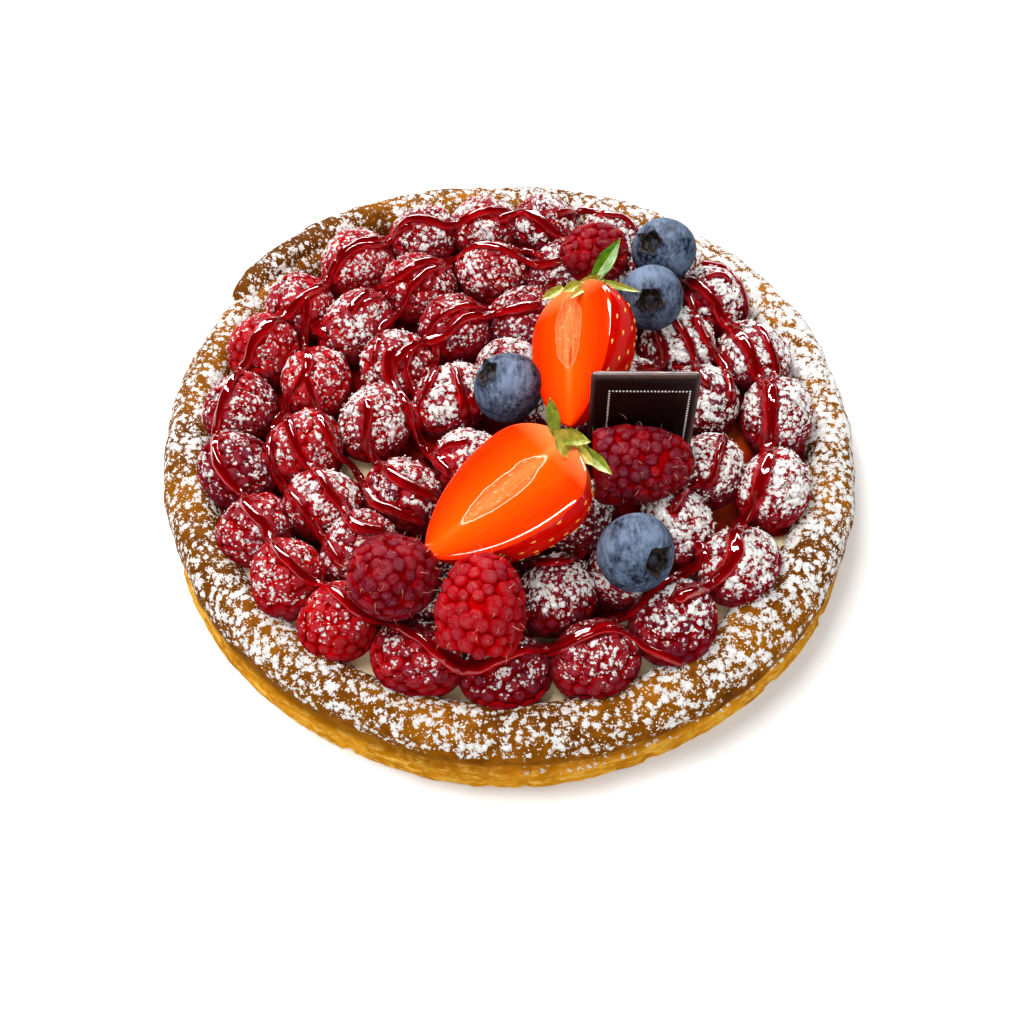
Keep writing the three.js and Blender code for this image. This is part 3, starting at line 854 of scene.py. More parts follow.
def region_cover(x, y):
    """How thickly the sieve dusted this part of the tart: most at the right, least at the left
    front and along the left side."""
    right = smooth_step(0, 60, x)
    middle = np.exp(-((x + 15) ** 2 + (y + 10) ** 2) / 30 ** 2)
    front = smooth_step(-35, -75, y)
    left = smooth_step(-40, -75, x)
    return 0.45 + 0.25 * right + 0.18 * middle - 0.2 * left - 0.14 * front * (1 - right)


# %% [markdown]
# Custard fills the shell. Only chinks of it show between the berries: pale cream, nearly smooth,
# a little proud where it meets the dough and stained red where sauce ran into the gaps in the
# middle. It is a turned profile again, with a low swell.

# %% Custard
def custard_surface():
    angle = np.linspace(0, 2 * np.pi, 240, endpoint=False)
    radii = np.concatenate([np.linspace(4, 80, 50), [82, 83.4, 84.4, CUSTARD_RADIUS]])
    rings = []
    for radius in radii:
        swell = 0.18 * np.sin(5 * angle + radius / 6) + 0.12 * np.cos(9 * angle - radius / 4)
        rim = 1.1 * smooth_step(81, CUSTARD_RADIUS, radius)
        rings.append(plan(radius, angle, CUSTARD_LEVEL + swell + rim, ROPE_SHIFT_Y))
    low = [plan(CUSTARD_RADIUS, angle, SHEET_TOP + 0.3 + 0 * angle, ROPE_SHIFT_Y),
           plan(40.0, angle, SHEET_TOP + 0.3 + 0 * angle, ROPE_SHIFT_Y)]
    grid = np.stack([low[1], low[0], *rings[::-1]])
    return closed_grid(grid, [0, 0, SHEET_TOP + 0.3], [0, ROPE_SHIFT_Y, CUSTARD_LEVEL])


points, faces = custard_surface()
reach = np.hypot(points[:, 0], points[:, 1])
clean_front = smooth_step(-20, -55, points[:, 1]) * smooth_step(66, 72, reach)
clean_spots = sum(np.exp(-((points[:, 0] - x) ** 2 + (points[:, 1] - y) ** 2) / 4.5 ** 2)
                  for x, y in ((-38, 66), (-42, -14), (44, -50)))
stain = 1 - np.clip(clean_front + 1.3 * clean_spots, 0, 1)
juice = sum(np.exp(-((points[:, 0] - x) ** 2 + (points[:, 1] - y) ** 2) / 5.0 ** 2)
            for x, y in ((62, -4.2), (56, -25.5)))
custard_finish, tree, shader = new_material(
    "custard", (0.82, 0.72, 0.44), 0.4, Specular_IOR_Level=0.03)
cream = mixed(tree, noise(tree, 90.0, 3.0), (0.74, 0.62, 0.34), (0.9, 0.82, 0.56))
uneven = ramp(tree, noise(tree, 120.0), 0.3, 0.7, -0.3, 0.3)
stained = maths(tree, "ADD", attribute(tree, "stain"), uneven)
soaked = mixed(tree, ramp(tree, noise(tree, 210.0, 4.0), 0.4, 0.65), (0.14, 0.0012, 0.004),
               (0.36, 0.006, 0.004))
soaked = mixed(tree, attribute(tree, "juice"), soaked, (0.85, 0.16, 0.02))
cream = mixed(tree, ramp(tree, stained, 0.45, 0.6), cream, soaked)
tree.links.new(cream, shader.inputs["Base Color"])
tree.links.new(bump(tree, noise(tree, 300.0), 0.3, 0.4), shader.inputs["Normal"])
custard = make_piece("custard_filling", points, faces, custard_finish, "custard",
                     stain=stain, juice=np.clip(juice, 0, 1))
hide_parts("custard")

# %% [markdown]
# A raspberry is a cluster of small fleshy drupelets round a core. Each could be a whole sphere,
# but only the outer part of one ever shows, so a drupelet here is a low cushion of some sixty
# faces on a squarish base: flat on top and steep at the sides. Rows of them climb the berry like
# bricks, shifted by half a step from row to row, and meet in narrow creases.

# %% Raspberry shape
DOME_STEPS = 12
CUSHION = np.array([(0.46, 0.96), (0.78, 0.82), (0.97, 0.52), (1.07, 0.08), (1.05, -0.4)])
OUTLINE_START = -np.arcsin(WIDEST_AT / 0.62)


def outline(psi):
    """Radius share and height share of the outline: cosine across, and a slightly pointed
    sine up; psi runs from the open foot to a quarter turn at the tip."""
    up = np.where(psi > 0, (1 - WIDEST_AT) * np.abs(np.sin(psi)) ** 1.05, 0.62 * np.sin(psi))
    return np.cos(psi), WIDEST_AT + up


def drupelet_spots(half, height, pitch, rng):
    """Rows at even steps along the outline, and in each row as many spots as fit round it."""
    psi = np.linspace(OUTLINE_START, np.pi / 2, 200)
    radius, up = outline(psi)
    along = np.concatenate([[0], np.cumsum(np.hypot(
        np.diff(radius) * half, np.diff(up) * height))])
    rows = max(int(round(along[-1] / (pitch * 0.88))), 4)
    marks = along[-1] * (np.arange(rows) + 0.55) / rows
    spots = []
    for row, mark in enumerate(marks):
        here = np.interp(mark, along, psi)
        count = max(int(round(2 * np.pi * half * np.cos(here) / pitch)), 3)
        turn = (np.arange(count) + 0.5 * (row % 2) + rng.normal(0, 0.1, count)) / count
        spots.append(np.stack([np.full(count, here) + rng.normal(0, 0.045, count),
                               turn * 2 * np.pi, np.full(count, count)], -1))
    return np.concatenate(spots)


def berry_mesh(halves, height, lean, seed, pitch=3.7, plump=0.19, sunk=0.5):
    """Points, faces, rise and tone of a berry with its foot at the origin. A body point is
    (half_x * r * cos, half_y * r * sin, height * h) plus the lean above the widest place; each
    dome is base + side * cos + climb * sin + outward * bulge."""
    rng = chance(seed)
    spots = drupelet_spots(halves.mean(), height, pitch, rng)

    def body(psi, turn, grow):
        radius, up = outline(psi)
        lumpy = 1 + 0.035 * np.sin(2 * turn + seed) + 0.02 * np.sin(3 * turn + 2 * seed)
        leaning = np.clip(up - WIDEST_AT, 0, 1) / (1 - WIDEST_AT)
        x = (halves[0] * lumpy + grow) * radius * np.cos(turn) + lean[0] * leaning
        y = (halves[1] * lumpy + grow) * radius * np.sin(turn) + lean[1] * leaning
        z = height * up + grow * np.sin(psi)
        return np.stack(np.broadcast_arrays(x, y, z), -1)

    psi, turn, count = spots.T
    base = body(psi, turn, -sunk)
    d = 0.02
    side = body(psi, turn + d, -sunk) - base
    side /= np.linalg.norm(side, axis=1, keepdims=True)
    climb = body(np.minimum(psi + d, 1.56), turn, -sunk) - body(psi - d, turn, -sunk)
    climb /= np.linalg.norm(climb, axis=1, keepdims=True)
    outward = np.cross(side, climb)
    spin = rng.normal(0, 0.35, (len(psi), 1))
    side, climb = (side * np.cos(spin) + climb * np.sin(spin),
                   climb * np.cos(spin) - side * np.sin(spin))
    tilt = rng.normal(0, 0.07, (len(psi), 2))
    outward = outward + tilt[:, :1] * side + tilt[:, 1:] * climb
    width = 2 * np.pi * halves.mean() * np.cos(psi) / count * rng.normal(1.0, 0.12, len(psi))
    width = np.clip(width, pitch * 0.8, pitch * 1.25)[:, None, None]
    theta = np.linspace(0, 2 * np.pi, DOME_STEPS, endpoint=False)
    power = 2.6
    square = (np.abs(np.cos(theta)) ** power + np.abs(np.sin(theta)) ** power) ** (-1 / power)
    ring = CUSHION[:, :1] * square[None, :] * 0.5
    flat_x = (ring * np.cos(theta)).ravel()[None, :, None]
    flat_y = (ring * np.sin(theta)).ravel()[None, :, None] * 0.92
    rise = np.repeat(CUSHION[:, 1], DOME_STEPS)
    bulge = plump * width * rng.normal(1.0, 0.12, len(psi))[:, None, None]
    domes = (base[:, None, :] + width * flat_x * side[:, None, :]
             + width * flat_y * climb[:, None, :] + bulge * rise[None, :, None]
             * outward[:, None, :])
    poles = base[:, None, :] + bulge * outward[:, None, :]
    points = np.concatenate([domes, poles], 1)
    per = points.shape[1]
    first = (np.arange(len(psi)) * per)[:, None, None]
    quads = (grid_faces(len(CUSHION), DOME_STEPS)[:, ::-1][None] + first).reshape(-1, 4)
    cap = (fan_faces(per - 1, np.arange(DOME_STEPS), False)[None] + first).reshape(-1, 3)
    raised = np.tile(np.concatenate([rise, [1.0]]), len(psi))
    tone = np.repeat(rng.normal(0, 0.16, len(psi)), per)
    core_psi = np.linspace(OUTLINE_START, 1.45, 9)[:, None]
    core_turn = np.linspace(0, 2 * np.pi, 18, endpoint=False)[None, :]
    core, core_faces = closed_grid(
        body(core_psi, core_turn, -0.9), [0, 0, 0], body(np.array(1.57), np.array(0.0), -0.9))
    core_faces = [part + len(points) * per for part in core_faces]
    points = np.concatenate([points.reshape(-1, 3), core])
    raised = np.concatenate([raised, np.full(len(core), -0.2)])
    return points, [quads, cap, *core_faces], raised, np.concatenate([tone, np.zeros(len(core))])


# %% [markdown]
# Raspberry skin is satiny, dark crimson on the swell of each drupelet. A pinkish bloom on the
# tops of the drupelets is partly dust and partly a painted sheen, and deep in the creases the
# red is painted clearer and brighter, painted light for what comes through the flesh. The stored
# rise of each point drives that. Sugared berries carry the icing group; the fresh ones that were
# put on last don't, and are moister.

# %% Raspberry finishes
BERRY_LUMPS = 780.0


def raspberry_material(name, sugared):
    """The swell colour goes from bright red to purple crimson with the stored ripeness."""
    material, tree, shader = new_material(
        name, (0.2, 0.004, 0.012), 0.35, Specular_IOR_Level=0.015, Subsurface_Weight=0.1,
        Subsurface_Scale=0.0015)
    shader.inputs["Subsurface Radius"].default_value = (1.0, 0.1, 0.08)
    rise, ripe = attribute(tree, "rise"), attribute(tree, "ripe")
    swell = mixed(tree, ripe, (0.4, 0.003, 0.009), (0.115, 0.003, 0.013))
    # painted light: the creases get a clearer, brighter red for light coming through the flesh
    crease_glow = mixed(tree, ripe, (0.5, 0.001, 0.002), (0.25, 0.001, 0.004))
    patch = noise(tree, 170.0, 3.0)
    flesh = mixed(tree, ramp(tree, rise, 0.0, 0.7), crease_glow, swell)
    flesh = mixed(tree, ramp(tree, patch, 0.5, 0.75, 0.0, 0.7), flesh, crease_glow)
    # pinkish bloom on the drupelet tops: partly dust, partly a painted sheen
    bloom = mixed(tree, ripe, (0.42, 0.09, 0.1), (0.27, 0.09, 0.12))
    dusty_and_sheen = maths(tree, "MULTIPLY", ramp(tree, rise, 0.6, 1.0),
                  ramp(tree, noise(tree, 700.0, 4.0, rough=0.7), 0.36, 0.66, 0.0, 0.7))
    flesh = mixed(tree, dusty_and_sheen, flesh, bloom)
    under = bump(tree, noise(tree, 1100.0, 3.0), 0.14, 0.5)
    if sugared:
        iced(tree, shader, BERRY_LUMPS, flesh, 0.33, under, 0.35)
    else:
        tree.links.new(flesh, shader.inputs["Base Color"])
        tree.links.new(under, shader.inputs["Normal"])
    return material


sugared_finish = raspberry_material("sugared raspberry", True)
fresh_finish = raspberry_material("fresh raspberry", False)

# %% [markdown]
# Now each standing raspberry is built upright and turned to the axes that were measured. How
# thickly sugar lies is stored with each point, because it depends on where the berry stands, on
# what faces up and on where sauce covers it, which a material alone can't know.

# %% Standing raspberries
# added to the sugar of berries that the sieve hit more or less than those around them
OWN_COVER = {"raspberry_c03": -0.22, "raspberry_d01": 0.08, "raspberries_under": 0.1}


def standing_berry(berry, seed):
    """A berry on its own foot, turned to its axes, with how much sugar each point carries: only
    what faces up, outside the sauce, as thick as this part of the tart was dusted."""
    x_axis, y_axis = berry["axes"]
    if x_axis[0] * y_axis[1] - x_axis[1] * y_axis[0] < 0:
        y_axis = -y_axis
    local_lean = np.array([berry["lean"] @ x_axis, berry["lean"] @ y_axis])
    points, faces, rise, tone = berry_mesh(
        berry["halves"] + SWELL, berry["height"], local_lean, seed)
    placed = points[:, :1] * x_axis + points[:, 1:2] * y_axis + berry["middle"]
    placed = np.column_stack([placed, points[:, 2] + berry["foot"]])
    share = (placed[:, 2] - berry["foot"]) / berry["height"]
    rng = chance(500 + seed)
    own = region_cover(*berry["middle"]) + rng.normal(0, 0.06) + OWN_COVER.get(berry["node"], 0)
    patchy = 0.16 * np.sin(placed[:, 0] / 2.3 + seed) * np.cos(placed[:, 1] / 2.7)
    front = 0.18 * smooth_step(-45, -70, berry["middle"][1])
    cover = (own + patchy) * smooth_step(0.35 + front, 0.8 + front, share + 0.05 * rise)
    cover = cover * bare_of_sauce(placed[:, 0], placed[:, 1])
    return placed, faces, rise, tone, np.clip(cover, 0, 1)


# ripeness of those that stand out; the rest follow their place
RIPENESS = {"raspberry_a19": 0.1, "raspberry_a20": 0.25, "raspberry_a04": 0.2,
            "raspberry_b02": 0.1, "raspberry_a03": 0.35, "raspberry_a02": 0.15,
            "raspberry_b01": 0.3, "raspberry_a18": 0.45, "raspberry_a06": 0.4}


def ripeness(berry, seed):
    by_place = 0.55 + 0.25 * smooth_step(-20, 60, berry["middle"][0])
    return RIPENESS.get(berry["node"], by_place + chance(700 + seed).normal(0, 0.12))


def put_berries():
    skins = []
    for seed, berry in enumerate(BERRIES):
        points, faces, rise, tone, cover = standing_berry(berry, seed)
        own_node = berry["node"] and berry["node"] != "raspberries_under"
        label = berry["node"] if own_node else f"raspberry_below_{seed}"
        ripe = np.clip(ripeness(berry, seed) + tone, 0, 1)
        piece = make_piece("drupelets_" + label, points, faces, sugared_finish, "raspberry",
                           rise=rise, sugar=cover, ripe=ripe)
        if berry["node"]:
            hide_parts(berry["node"])
        skins.append((points, rise, cover))
    return skins


berry_skins = put_berries()
print("raspberry pieces:", len(berry_skins), "points each about", len(berry_skins[0][0]))

# %% [markdown]
# Four large raspberries lie on top, each turned its own way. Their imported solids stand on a
# tilted axis, so the same shape is made upright, shifted to its middle, tilted and turned.

# %% Fresh raspberries
def turned_frame(tilt, turn):
    """Rotation that leans +Z by tilt toward +X, then turns it round +Z."""
    t, u = np.radians(tilt), np.radians(turn)
    lean = np.array([[np.cos(t), 0, np.sin(t)], [0, 1, 0], [-np.sin(t), 0, np.cos(t)]])
    spin = np.array([[np.cos(u), -np.sin(u), 0], [np.sin(u), np.cos(u), 0], [0, 0, 1]])
    return spin @ lean


FRESH = {
    "raspberry_top_1": dict(at=(22.9, 45, 39.4), radius=9.8, height=19.5, tilt=62, turn=205),
    "raspberry_top_2": dict(at=(34.9, -29.9, 37.2), radius=10.1, height=26.5, tilt=90, turn=4),
    "raspberry_top_3": dict(at=(-28.6, -66.4, 41), radius=10.8, height=22, tilt=24, turn=250),
    "raspberry_top_4": dict(at=(-6.3, -73.1, 40.1), radius=10.9, height=24.5, tilt=48, turn=80),
}
PITCH = {"raspberry_top_1": 3.3, "raspberry_top_2": 3.35, "raspberry_top_3": 3.5,
         "raspberry_top_4": 3.8}
FRESH_RIPENESS = {"raspberry_top_1": 0.6, "raspberry_top_2": 0.75, "raspberry_top_3": 0.7,
                  "raspberry_top_4": 0.15}
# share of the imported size, for those that are smaller than their solids
SLIMMER = {"raspberry_top_1": 0.91, "raspberry_top_4": 0.96}
fresh_skins = []
for number, (node, spot) in enumerate(FRESH.items()):
    half, tall = np.array([spot["radius"], spot["height"]]) * SLIMMER.get(node, 1)
    points, faces, rise, tone = berry_mesh(
        np.full(2, half), tall, np.zeros(2), 90 + number, PITCH[node], 0.25, 0.7)
    points = points - [0, 0, tall / 2]
    frame_of_berry = turned_frame(spot["tilt"], spot["turn"])
    points = points @ frame_of_berry.T + np.array(spot["at"])
    ripe = np.clip(FRESH_RIPENESS[node] + tone, 0, 1)
    piece = make_piece("drupelets_" + node, points, faces, fresh_finish, "raspberry", rise=rise,
                       ripe=ripe)
    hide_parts(node)
    fresh_skins.append((points, rise, np.array(spot["at"])))
print("fresh raspberries:", list(FRESH))

# %% [markdown]
# Fresh raspberries keep the dried hairs of the flower: fine pale threads two or three
# millimetres long that stand out of the skin and curl over. Each is a thin three-sided spike
# bent along a quarter of a circle, and all of them are one piece.

# %% Berry hairs
def hair_mesh(roots, outward, rng, length_mm, half_mm):
    """Each hair's middle line is root + outward * sin + sideways * (1 - cos) over a bend; three
    points round it at each of five stations, tapering to nothing."""
    count = len(roots)
    sideways = np.cross(outward, rng.normal(size=(count, 3)))
    sideways /= np.linalg.norm(sideways, axis=1, keepdims=True)
    third = np.cross(outward, sideways)
    t = np.linspace(0, 1, 5)[None, :, None]
    bend = rng.uniform(0.9, 1.9, (count, 1, 1))
    length = rng.uniform(*length_mm, (count, 1, 1))
    line = (roots[:, None, :] + outward[:, None, :] * np.sin(t * bend) * length / bend
            + sideways[:, None, :] * (1 - np.cos(t * bend)) * length / bend)
    turn = np.linspace(0, 2 * np.pi, 3, endpoint=False)[None, None, :, None]
    thick = half_mm * (1 - 0.85 * t)[..., None]
    ring = (line[:, :, None, :] + thick * np.cos(turn) * third[:, None, None, :]
            + thick * np.sin(turn) * np.cross(third, outward)[:, None, None, :])
    points = ring.reshape(-1, 3)
    first = (np.arange(count) * 15)[:, None, None]
    quads = (grid_faces(5, 3)[None] + first).reshape(-1, 4)
    caps = np.concatenate([np.arange(count)[:, None] * 15 + np.array([[2, 1, 0]]),
                           np.arange(count)[:, None] * 15 + np.array([[12, 13, 14]])])
    return points, [quads, caps]


HAIRS_PER_BERRY = 60


def pick_hairs():
    rng = chance(77)
    roots, outward = [], []
    for points, rise, middle in fresh_skins:
        tops = points[(rise > 0.99) & (points[:, 2] > middle[2] - 4)]
        chosen = tops[rng.choice(len(tops), min(HAIRS_PER_BERRY, len(tops)), replace=False)]
        chosen = chosen + rng.normal(0, 0.7, chosen.shape)
        away = chosen - middle
        away /= np.linalg.norm(away, axis=1, keepdims=True)
        roots.append(chosen - 0.5 * away)
        outward.append(away)
    return hair_mesh(np.concatenate(roots), np.concatenate(outward), rng, (1.4, 3.4), 0.1)


hair_finish, tree, shader = new_material("berry hair", (0.75, 0.42, 0.2), 0.5)
tone = mixed(tree, noise(tree, 300.0), (0.6, 0.22, 0.12), (0.85, 0.62, 0.36))
tree.links.new(tone, shader.inputs["Base Color"])
points, faces = pick_hairs()
make_piece("berry_hairs", points, faces, hair_finish, None)
print("hair faces:", sum(len(part) for part in faces))

# %% [markdown]
# Blueberries are nearly round, with a five-pointed crown round a shallow dish. The skin is almost
# black, but a waxy bloom makes it look dusty blue, and the bloom is rubbed off in scratches and
# near the crown. The upper side is painted paler as well: painted light, where the light falls
# from above. The shape is one profile turned round the berry, whose crown part is drawn out
# into five lobes by the angle.

# %% Blueberries
BLUE = {
    "blueberry_1": dict(at=(-0.6, -0.3, 32.6), radius=9.8, tilt=40, turn=185),
    "blueberry_2": dict(at=(40, 29.3, 37.4), radius=9.3, tilt=50, turn=260),
    "blueberry_3": dict(at=(44.8, 48.4, 37.3), radius=9.6, tilt=42, turn=215),
    "blueberry_4": dict(at=(31.2, -57.9, 38.3), radius=9.9, tilt=56, turn=310),
}


def blueberry_surface(radius, seed):
    """Rings from the foot to the middle of the dish, with how far into the crown each lies.
    Outside: a flattened ball. Then a collar drawn out into five pointed flaps, its torn inner
    side, and the dish."""
    rng = chance(seed)
    steps = 80
    turn = np.linspace(0, 2 * np.pi, steps, endpoint=False)
    saw = np.abs(np.mod(5 * turn / (2 * np.pi) + rng.uniform(0, 1), 1) - 0.5) * 2
    torn = sum(np.sin(k * turn + rng.uniform(0, 6)) for k in (9, 14, 23)) / 3
    lobes = saw ** 1.3 * (0.85 + 0.35 * np.sin(2 * turn + rng.uniform(0, 6)) + 0.25 * torn)
    rings, inside = [], []
    for down in np.radians(np.linspace(172, 25, 40)):
        out = radius * np.sin(down) * (1 + 0.012 * np.sin(3 * turn + seed))
        rings.append(np.stack([out * np.cos(turn), out * np.sin(turn),
                               np.full(steps, radius * 0.93 * np.cos(down))], -1))
        inside.append(np.zeros(steps))
    edge = radius * 0.85
    for out, up, flare, depth in ((3.6, 0.05, 0.2, 0.0), (3.4, 0.55, 0.8, 0.0),
                                  (3.2, 1.0, 1.5, 0.15), (2.95, 0.9, 1.4, 0.8),
                                  (2.75, 0.1, 0.4, 1.0), (2.6, -0.9, 0.0, 1.0),
                                  (1.7, -1.35, 0.0, 1.0), (1.1, -1.2, 0.0, 0.85),
                                  (0.45, -1.0, 0.0, 0.7)):
        reach = out + flare * lobes
        rise = edge + up * (0.25 + 0.75 * lobes if up > 0 else 1 + 0 * lobes)
        rings.append(np.stack([reach * np.cos(turn), reach * np.sin(turn), rise], -1))
        inside.append(np.full(steps, depth))
    points, faces = closed_grid(np.stack(rings), [0, 0, -radius * 0.93], [0, 0, edge - 0.95])
    return points, faces, np.concatenate([np.ravel(inside), [0, 0.7]])


blue_finish, tree, shader = new_material(
    "blueberry bloom", (0.09, 0.13, 0.22), 0.55, Specular_IOR_Level=0.05)
# the stored cover is the waxy bloom plus painted light on the upper side
wax_and_painted_light = attribute(tree, "bloom")
cloud_and_painted_light = maths(tree, "ADD", wax_and_painted_light, ramp(tree, noise(tree, 120.0, 4.0), 0.32, 0.68, -0.5, 0.3))
scuff = noise(tree, 700.0, 5.0, (1, 0.35, 1), 0.75)
cloud_and_painted_light = maths(tree, "ADD", cloud_and_painted_light, ramp(tree, scuff, 0.35, 0.65, -0.5, 0.3))
skin = mixed(tree, ramp(tree, cloud_and_painted_light, 0.0, 1.0), (0.009, 0.01, 0.03), (0.19, 0.25, 0.355))
pith = mixed(tree, ramp(tree, noise(tree, 900.0, 3.0), 0.42, 0.7), (0.008, 0.008, 0.012),
             (0.075, 0.05, 0.035))
skin = mixed(tree, attribute(tree, "inside"), skin, pith)
tree.links.new(skin, shader.inputs["Base Color"])
tree.links.new(ramp(tree, cloud_and_painted_light, 0.0, 0.8, 0.35, 0.75), shader.inputs["Roughness"])
tree.links.new(bump(tree, scuff, 0.12, 0.6), shader.inputs["Normal"])

for number, (node, spot) in enumerate(BLUE.items()):
    points, faces, inside = blueberry_surface(spot["radius"], 30 + number)
    height = points[:, 2] / spot["radius"]
    near_crown = smooth_step(0.7, 0.84, height)
    points = points @ turned_frame(spot["tilt"], spot["turn"]).T + np.array(spot["at"])
    upward = (points[:, 2] - spot["at"][2]) / spot["radius"]
    # the upward term is painted light: the bloom is painted paler on the side facing up
    bloom = 0.62 - 0.3 * near_crown + 0.3 * upward
    piece = make_piece("skin_" + node, points, faces, blue_finish, "blueberry", bloom=bloom,
                       inside=inside)
    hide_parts(node)
print("blueberries:", list(BLUE))

# %% [markdown]
# Two strawberries were cut lengthways and glazed. A half is a stack of closed loops from the
# leafy end to the tip: the flat cut across the top of each loop and the round skin below. The
# half width follows a formula with a blunt shoulder and a long taper. The cut has a rounded edge
# and a slightly sunken core; its pattern is drawn with the piece's own UV map, because it has to
# follow the fruit: "u" runs from leaf to tip and "v" from one side to the other.

# %% Strawberry shape
STRAWBERRIES = {
    "strawberry_half_1": dict(at=(21.9, 1.8, 40.5), length=42, width=31.8, depth=20, yaw=-90,
                              pitch=15, roll=50),
    "strawberry_half_2": dict(at=(0, -45.7, 37.3), length=46, width=38, depth=19, yaw=-143,
                              pitch=17, roll=18),
}


def berry_half_width(s):
    """Share of the full half width at share s of the length: a blunt round shoulder up to 0.3,
    then a long taper to the tip."""
    shoulder = np.sqrt(np.clip(1 - np.abs((0.3 - s) / 0.3) ** 2.4, 0, 1))
    taper = np.clip(1 - np.abs((s - 0.3) / 0.7) ** 2.0, 0, 1) ** 0.72
    return np.where(s < 0.3, shoulder, taper)


def euler_frame(roll, pitch, yaw):
    r, p, y = np.radians([roll, pitch, yaw])
    about_x = np.array([[1, 0, 0], [0, np.cos(r), -np.sin(r)], [0, np.sin(r), np.cos(r)]])
    about_y = np.array([[np.cos(p), 0, np.sin(p)], [0, 1, 0], [-np.sin(p), 0, np.cos(p)]])
    about_z = np.array([[np.cos(y), -np.sin(y), 0], [np.sin(y), np.cos(y), 0], [0, 0, 1]])
    return about_z @ about_y @ about_x


def strawberry_loops(spot):
    """Points (rows, columns, 3) of a half, with s and v of each. Cut columns cross from one side
    to the other at v 1..-1; skin columns go round below as a half ellipse."""
    s = (0.5 - 0.5 * np.cos(np.linspace(0.04, 0.985, 70) * np.pi))[:, None]
    wide = berry_half_width(s)
    v_cut = np.array([1.0, 0.985, 0.95, *np.linspace(0.9, -0.9, 31), -0.95, -0.985])[None, :]
    turn = np.linspace(0, np.pi, 34)[None, :]
    half = spot["width"] / 2
    core = np.exp(-(((s - 0.42) / 0.2) ** 2) - (v_cut / 0.22) ** 2)
    edge = 0.55 * (1 - np.clip((1 - np.abs(v_cut)) * wide * half / 1.4, 0, 1)) ** 2
    cut = np.stack(np.broadcast_arrays(
        (s - 0.5) * spot["length"], half * wide * v_cut,
        0.4 * spot["depth"] - edge - 0.35 * core + 0.25 * np.cos(v_cut * 1.5)), -1)
    skin = np.stack(np.broadcast_arrays(
        (s - 0.5) * spot["length"], -half * wide * np.cos(turn),
        spot["depth"] * (0.4 - wide * np.sin(turn)) - 0.6 * (1 - np.sin(turn)) ** 4), -1)
    grid = np.concatenate([cut, skin], 1)
    v = np.concatenate([v_cut, -np.cos(turn)], 1) + 0 * s
    on_cut = np.concatenate([np.ones_like(v_cut), np.zeros_like(turn)], 1) + 0 * s
    wet = smooth_step(2.2, 0.6, (1 - np.abs(v_cut)) * wide * half)
    wet = np.concatenate([wet, 0.15 + 0.85 * (1 - np.sin(turn)) ** 6 + 0 * s], 1)
    return grid, s + 0 * v, v, on_cut, wet


